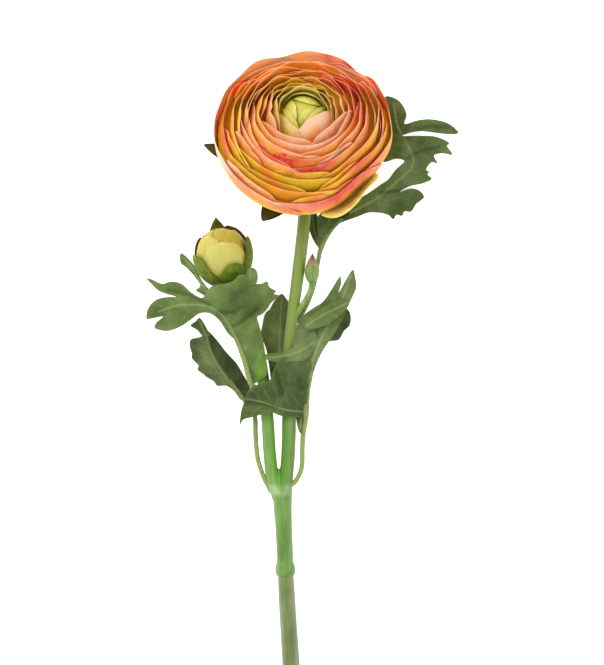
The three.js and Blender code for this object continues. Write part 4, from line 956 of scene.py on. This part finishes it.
def add_back_petal(form):
    """The pale petal that hangs open behind the last ring."""
    def heading(u, v):
        return BACK_PETAL["angle"] + BACK_PETAL["half"] * u * (0.75 + 0.25 * v)

    def place(u, v):
        radius, height = petal_profile(1, (0.5 + 0.5 * v) * (1 - 0.26 * np.abs(u) ** 2.6 * v))
        wave = 0.4 * v**3 * np.sin(5 * u + 1)
        down = BACK_PETAL["down"] * v**3 * (1 - 0.6 * u * u)
        out = (0.6 + BACK_PETAL["out"] * v + wave) * (1 - u * u) - 0.5 * u**4
        return bloom_place(radius + out, heading(u, v), height - down + wave)

    lay_petal(form, (36, 24), place, heading, BACK_PETAL["ring"], BACK_PETAL["seed"], pale=1)


def add_cover_petal(form, angle, from_axis, half_width, peach, lift, pale):
    """A petal that hugs the egg round the heart, and whose rim runs straight across it."""
    shape = egg_in_bloom(**HEART_EGG)

    def place(u, v):
        off = math.radians(half_width) * u
        wave = 0.25 * np.sin(5 * u + angle) + 0.15 * np.sin(11 * u)
        across = (from_axis + wave) / (shape.radius * np.cos(off))
        rim = math.pi - np.arcsin(np.minimum(across, 0.98))
        from_foot = COVER_FOOT + (rim - COVER_FOOT) * v * (1 - 0.12 * u**8)
        return shape.on_skin(math.radians(angle), from_foot, off, lift + 0.2 * u + 0.5 * v**12)

    lay_petal(
        form, (44, 28), place, lambda u, v: math.radians(angle) + u, 0, angle,
        tint=peach, pale=pale,
    )


def bloom_core():
    """The dense foot of the petals, which they all stand out of."""
    section = [(0, 0.9)]
    for k in range(1, 6):
        radius, height = petal_profile(1, 0.165 * k)
        section.append((radius * 0.985 - 0.4, height + 0.7))
    section += [(35.5, 26), (32, 29.5), (24, 36), (14, 39), (10.4, 38), (9.4, 33.7), (0, 33.5)]
    return turned(bloom_egg, [(r, h - BLOOM_HALF_DEPTH) for r, h in section], 40)


def make_bloom_petals():
    form = Form()
    form.add(*bloom_core(), rim=INSIDE["bloom"])
    for petals, first_seed, dip in PLACED_PETALS:
        for seed, (ring_number, *angles, lap, flatness) in enumerate(petals, first_seed):
            add_petal(form, ring_number, *np.radians(angles), lap, flatness, seed, dip)
    for ring_number, (count, first) in OUTER_RINGS.items():
        step = 2 * math.pi / count
        for number in range(count):
            seed = ring_number * 10 + number
            angle = math.radians(first) + number * step + 0.1 * chance(seed)
            flatness = PETAL_FLATNESS * (1 + chance(seed + 7))
            add_petal(form, ring_number, angle, step / 2 * PETAL_SPREAD, PETAL_LAP, flatness, seed)
    for cover in COVER_PETALS:
        add_cover_petal(form, *cover)
    add_back_petal(form)
    finish_piece(form.mesh("bloom_petals"), "bloom_petals", petal_look())


# Heart, sepals and buds


def hugging(shape, size, start, angle, reach, half_width, flare, lift, point):
    """A petal or sepal that hugs an egg from its foot up to a rounded or pointed tip."""
    def place(u, v):
        from_foot = np.radians(start + (reach - start) * v)
        width = np.sin(math.pi * (0.14 + 0.86 * v) ** 0.8) ** point
        off = math.radians(half_width) * u * np.maximum(width, 0.04)
        return shape.on_skin(math.radians(angle), from_foot, off, lift + flare * v * v + 0.15 * u)

    return grid_sheet(*size, place)


def make_bloom_heart():
    shape = egg_in_bloom(**HEART)
    form = Form()
    form.add(*egg_ball(shape, inside=1, steps=16, sides=28), rim=INSIDE["heart"], seed=0.3)
    for k, wrap in enumerate(HEART_WRAPS):
        lift = 0.42 * k - 0.9
        sheet, u, _ = hugging(shape, WRAP_STEPS, 60, *wrap, flare=0.3, lift=lift, point=0.4)
        rim = rim_distance(sheet, WRAP_STEPS[0])
        form.add_sheet(sheet, thickness=0.42, rim=rim, seed=k, turn=u * 6 + k)
    look = wrapped_look(
        "ranunculus_heart", (3, 0.08), (0.2, 0.8, 0, 0.6), (0, 6, 0.35, 0),
        (0, "8A8420"), (0.35, "B8AE3C"), (0.7, "D0C468"), (1, "E4DAA0"),
    )
    finish_piece(form.mesh("bloom_heart"), "bloom_heart", look)


def make_bloom_sepals():
    form = Form()
    for *angles, flare in BLOOM_SEPALS:
        sheet, u, _ = hugging(bloom_egg, (12, 30), 4, *angles, flare, lift=1.65, point=0.75)
        form.add_sheet(sheet, SEPAL_THICKNESS, edge=np.abs(u) ** 4)
    look = sepal_look("ranunculus_sepal", "2C3214", "48501F", "38200F")
    finish_piece(form.mesh("bloom_sepals"), "bloom_sepals", look)


def make_bud():
    shape = Egg(**BUD)
    form = Form()
    form.add(*egg_ball(shape, inside=0.6, steps=24, sides=36), rim=INSIDE["bud"])
    for k, (*angles, lift) in enumerate(BUD_PETALS):
        sheet, u, v = hugging(shape, WRAP_STEPS, 40, *angles, flare=0, lift=lift, point=0.3)
        form.add_sheet(
            sheet, thickness=0.5 * (1 - 0.4 * v**8), rim=rim_distance(sheet, WRAP_STEPS[0]),
            seed=k + 3, turn=u * 4 + k, front=max(0, k - 3) / 2,
        )
    look = wrapped_look(
        "ranunculus_bud_petal", (4, 0.05), (0.3, 0.7, 0, 0.35), (0, 2, 0.3, 0),
        (0, "A09220"), (0.35, "B4A844"), (0.75, "C0B664"), (1, "D0C886"),
    )
    finish_piece(form.mesh("bud_petals"), "bud_petals", look)
    cup = Form()
    for k, (*angles, flare, point, red) in enumerate(BUD_SEPALS):
        sheet, u, v = hugging(shape, (20, 28), 14, *angles, flare, 1.75 + 0.1 * k, point)
        edge = red * np.maximum(np.abs(u) ** 6, v**12)
        cup.add_sheet(sheet, SEPAL_THICKNESS, edge=edge)
    look = sepal_look("ranunculus_bud_sepal", "465C04", "6C8010", "5A1E10")
    finish_piece(cup.mesh("bud_sepals"), "bud_sepals", look)


def make_small_bud():
    shape = Egg(**SMALL_BUD)
    form = Form()
    points, faces = turned(shape, smooth_curve(SMALL_BUD_SECTION, 4), 24)
    height = (points - shape.centre) @ shape.frame[2]
    form.add(points, faces, tip=np.clip((height - 1) / 5, 0, 1))
    form.add(*tube(SMALL_BUD_STALK)[:2])
    finish_piece(form.mesh("small_bud"), "small_bud", small_bud_look())


# Stems


def join_solid(form, name, voxel, rounds):
    """One skin round several overlapping tubes, smoothed where they meet."""
    holder = put(name, form.mesh(name))
    remesh = holder.modifiers.new("one_skin", "REMESH")
    remesh.mode = "VOXEL"
    remesh.voxel_size = voxel * MM
    smooth = holder.modifiers.new("smooth", "SMOOTH")
    smooth.iterations = rounds
    depsgraph = bpy.context.evaluated_depsgraph_get()
    made = bpy.data.meshes.new_from_object(holder.evaluated_get(depsgraph))
    bpy.data.objects.remove(holder)
    return made


def mark_stem(mesh, routes, stripe_at):
    """Marks how far right of its stem's middle line each point is, which stem it is on, and
    how much of the stripe it has."""
    points = np.empty(3 * len(mesh.vertices))
    mesh.vertices.foreach_get("co", points)
    points = points.reshape(-1, 3) / MM
    nearest = np.full(len(points), np.inf)
    across, branch = np.zeros(len(points)), np.zeros(len(points))
    for k, route in enumerate(routes):
        line = smooth_curve(route, 6)
        far, _, side = near_line(points[:, :2], line[:, :2])
        closer = far < nearest
        width = np.interp(points[:, 1], line[:, 1], line[:, 3])
        across = np.where(closer, np.clip(-side * far / width, -1, 1), across)
        branch = np.where(closer, k, branch)
        nearest = np.where(closer, far, nearest)
    write_mark(mesh, "across", across)
    write_mark(mesh, "branch", branch)
    write_mark(mesh, "stripe", stripe_at(across, branch, points[:, 1]))


def upper_stripe(across, branch, y):
    """A stripe left on the bloom's stem near the fork, in its middle higher up, and right on
    the bud's stem."""
    low = np.clip(0.35 - 2.2 * across, 0, 1)
    high = bell((across - 0.05) / 0.62) * (0.8 + 0.2 * np.sin(0.09 * y))
    rise = np.clip((y + 10) / 20, 0, 1)
    bloom = low * (1 - rise) + high * rise
    bud = np.clip(2.4 * across, 0, 1) * (1 - rise)
    start = np.clip((y + 43) / 6, 0, 1)
    return 0.9 * start * np.where(branch > 0.5, bud, bloom)


def lower_stripe(across, _, y):
    return 0.7 * bell((across - 0.05) / 0.4) * (0.8 + 0.2 * np.sin(0.3 * y))


def ridges(length, turn):
    return 0.012 * np.sin(5 * turn + 0.02 * length) + 0.01 * np.sin(0.11 * length + 2 * turn)


def make_stems():
    form = Form()
    for route in (JOINT_RING, BLOOM_STEM, BUD_STEM):
        form.add(*tube(route, sides=20, steps=8, wobble=ridges)[:2])
    mesh = join_solid(form, "stem_upper", voxel=0.5, rounds=3)
    mark_stem(mesh, (BLOOM_STEM, BUD_STEM), upper_stripe)
    look = stem_look(
        "ranunculus_stem_green", "4C6E24", "648E38", "7CA04E", "6C8E4C", "46780C",
        upper=("747E28", "6E7A14"), branch="5A961A",
    )
    finish_piece(mesh, "stem_upper", look)
    form = Form()
    form.add(*tube(LOWER_STEM, sides=28, steps=14, wobble=ridges)[:2])
    mesh = form.mesh("stem_lower")
    mark_stem(mesh, (LOWER_STEM,), lower_stripe)
    look = stem_look("ranunculus_stem_grey", "525F30", "6A7746", "88926A", "80896C", "62741E")
    finish_piece(mesh, "stem_lower", look)


# Leaves


def closed_line(outline):
    return np.concatenate([outline, outline[:1]])


def leaf_height(points, rib, heights, fold):
    """A smooth mean of the given heights, folded along the midrib and rippled."""
    spots = np.array(heights, float)
    gaps = points[:, None] - spots[:, :2]
    weights = ((gaps**2).sum(2) + 6) ** -2
    mean = weights @ spots[:, 2] / weights.sum(1)
    off = np.minimum(near_line(points, np.array(rib, float))[0], FOLD_REACH)
    x, y = points.T
    ripple = RIPPLE * np.sin(0.55 * x + 0.25 * y) * np.sin(0.5 * y - 0.2 * x)
    return mean - fold * off + ripple * np.minimum(1, 2 * off / FOLD_REACH)


def fill_outline(outline, rib):
    """Triangles of even size inside a closed outline, with rows of points along its midrib."""
    low, high = outline.min(0), outline.max(0)
    inner = []
    for k, y in enumerate(np.arange(low[1], high[1], LEAF_STEP * 0.866)):
        x = np.arange(low[0] + (k % 2) * LEAF_STEP / 2, high[0], LEAF_STEP)
        inner.append(np.stack([x, np.full_like(x, y)], axis=1))
    inner = np.concatenate(inner)
    way = unit(np.gradient(rib, axis=0))
    aside = RIB_ROW * np.column_stack([-way[:, 1], way[:, 0]])
    inner = inner[near_line(inner, rib)[0] > RIB_ROW + LEAF_STEP * 0.4]
    inner = np.concatenate([inner, rib, rib + aside, rib - aside])
    inner = inner[near_line(inner, closed_line(outline))[0] > LEAF_STEP * 0.45]
    flat = [Vector(p) for p in np.concatenate([outline, inner])]
    # Output kind 1 keeps the triangles inside the outline, and leaves points that none uses
    points, _, faces, *_ = delaunay_2d_cdt(flat, [], [list(range(len(outline)))], 1, 1e-6)
    used, renumbered = np.unique(faces, return_inverse=True)
    return np.array([tuple(p) for p in points])[used], renumbered.reshape(-1, 3)


def add_blade(form, shape, seed):
    outline = smooth_curve(shape["outline"], 5, closed=True)
    rib = smooth_curve(shape["rib"], 6)
    flat, faces = fill_outline(outline, rib)
    off, along, side = near_line(flat, rib)
    edge, run, _ = near_line(flat, closed_line(outline))
    inward = np.minimum(1, edge)
    # Side veins leave the midrib at a slant, one side a half step on from the other
    step = (along - 0.95 * off**0.93) / VEIN_STEP + 0.25 * side + 0.3 * chance(seed)
    step = step + 0.07 * np.sin(0.8 * flat[:, 0] + seed) * np.cos(0.7 * flat[:, 1])
    veins = bell(np.abs((step + 0.5) % 1 - 0.5) * VEIN_STEP * 0.72 / VEIN_WIDTH)
    veins *= 0.6 * np.minimum(1, off / 1.5) * np.minimum(1, edge / 2.5) * np.exp(-off / 12)
    midrib = bell(off / RIB_WIDTH) * np.minimum(1, edge / 0.8)
    crinkle = 0.35 * np.sin(run * 0.9 + 3 * chance(seed + 1)) * np.exp(-edge / 2.2)
    between = 0.12 * np.sin((step + 0.25) * 2 * math.pi) * np.minimum(1, off / 4)
    height = leaf_height(flat, shape["rib"], shape["heights"], shape.get("fold", LEAF_FOLD))
    height = height + crinkle + between - VEIN_DEPTH * veins + RIB_HEIGHT * midrib
    # Painted shade: one side of the midrib is darkened, as a half turned away from the light
    shade = shape.get("shade", 0) * np.clip(0.5 - side * np.minimum(off, 1), 0, 1)
    for crease in shape.get("creases", ()):
        fall = near_line(flat, smooth_curve(crease, 5))[0]
        height = height - CREASE_DEPTH * np.exp(-fall / CREASE_WIDTH) * inward
        # Painted shade darkens the blade along each crease
        shade = np.maximum(shade, 0.5 * bell(fall / 0.9) * inward)
    fresh = 0
    if "fresh" in shape:
        aside, up, _ = near_line(flat, smooth_curve(shape["fresh"], 5))
        fresh = bell(aside / 2.2) * np.clip(1.4 - up / 14, 0, 1)
    form.add_sheet(
        (np.column_stack([flat, height]), faces),
        LEAF_THICKNESS * (0.45 + 0.55 * np.minimum(1, edge / 1.2)),
        vein=np.maximum(veins, midrib), rib=midrib, edge=np.exp(-edge / 0.5), shade=shade,
        tone=shape.get("tone", 0), fresh=fresh,
    )


def make_leaf(name, blades, look, *stalks):
    form = Form()
    for seed, shape in enumerate(blades.values(), 10 * len(name)):
        add_blade(form, shape, seed)
    for stalk in stalks:
        points, faces, length = tube(stalk, STALK_SIDES)
        ripe = 1 - 0.8 * (length / length[-1]) ** 2
        ripe = np.append(np.repeat(ripe, STALK_SIDES), ripe[[0, -1]])
        form.add(points, faces, side=1, vein=0.3, stalk=ripe)
    finish_piece(form.mesh(name), name, look, 60)


def make_leaves():
    grey = leaf_look("ranunculus_leaf_grey", "34441A", "485A24", "62743C", "454F1A")
    light = leaf_look("ranunculus_leaf_light", "445822", "576C30", "6A8042", "454F1A")
    green = leaf_look("ranunculus_leaf_green", "323F15", "465422", "606F34", "38431A")
    olive = leaf_look("ranunculus_leaf_olive", "454F20", "59642C", "6F7A40", "444A20")
    make_leaf("leaf_upper_right", UPPER_RIGHT_LEAF, grey, UPPER_RIGHT_STALK)
    make_leaf("leaf_over_bud", OVER_BUD_LEAF, light, OVER_BUD_STALK, OVER_BUD_BACK_RIB)
    make_leaf("leaf_low_left", LOW_LEFT_LEAF, green, LOW_LEFT_STALK, LOW_LEFT_CURL_RIB)
    make_leaf("leaf_centre_back", CENTRE_BACK_LEAF, olive, CENTRE_BACK_STALK)
    make_leaf("leaf_right", RIGHT_LEAF, grey, RIGHT_STALK)


# Table, light and camera


def make_table():
    mesh = bpy.data.meshes.new("table")
    corners = [(x * TABLE_HALF, y * TABLE_HALF, 0) for x, y in ((-1, -1), (1, -1), (1, 1), (-1, 1))]
    mesh.from_pydata(corners, [], [(0, 1, 2, 3)])
    look = Look("table_white", 0.85, Emission_Color=(1, 1, 1, 1), Emission_Strength=0.75)
    mesh.materials.append(look.finish(look.mix(look.noise(6, 2), "F4F4F2", "F8F8F7")))
    table = put("table", mesh)
    table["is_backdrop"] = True


def area_light(name, place, size, power):
    data = bpy.data.lights.new(name, "AREA")
    data.size = size
    data.energy = power
    lamp = put(name, data)
    lamp.location = place
    lamp.rotation_euler = (LIGHT_AIM - lamp.location).to_track_quat("-Z", "Y").to_euler()


def make_light():
    world = bpy.data.worlds.new("studio")
    world.use_nodes = True
    background = world.node_tree.nodes["Background"]
    background.inputs["Color"].default_value = (1, 1, 1, 1)
    background.inputs["Strength"].default_value = 0.9
    bpy.context.scene.world = world
    area_light("key", (-0.7, 0.7, 1.1), size=0.9, power=12.5)
    area_light("fill", (0.8, -0.5, 1.2), size=1.2, power=5)
    bpy.context.scene.view_settings.view_transform = "Standard"


def make_camera():
    data = bpy.data.cameras.new("camera")
    data.lens = LENS
    data.sensor_width = SENSOR
    data.clip_end = 20
    camera = put("camera", data)
    x, y, z = FRAME_CENTRE
    camera.location = Vector((x, y, z + FRAME_HEIGHT * LENS / SENSOR)) * MM
    bpy.context.scene.camera = camera


make_bloom_petals()
make_bloom_heart()
make_bloom_sepals()
make_bud()
make_small_bud()
make_stems()
make_leaves()
make_table()
make_light()
make_camera()

boxes = {"cad": PART_BOX, "visual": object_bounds()}
{name: [list(corner) for corner in box] for name, box in boxes.items()}
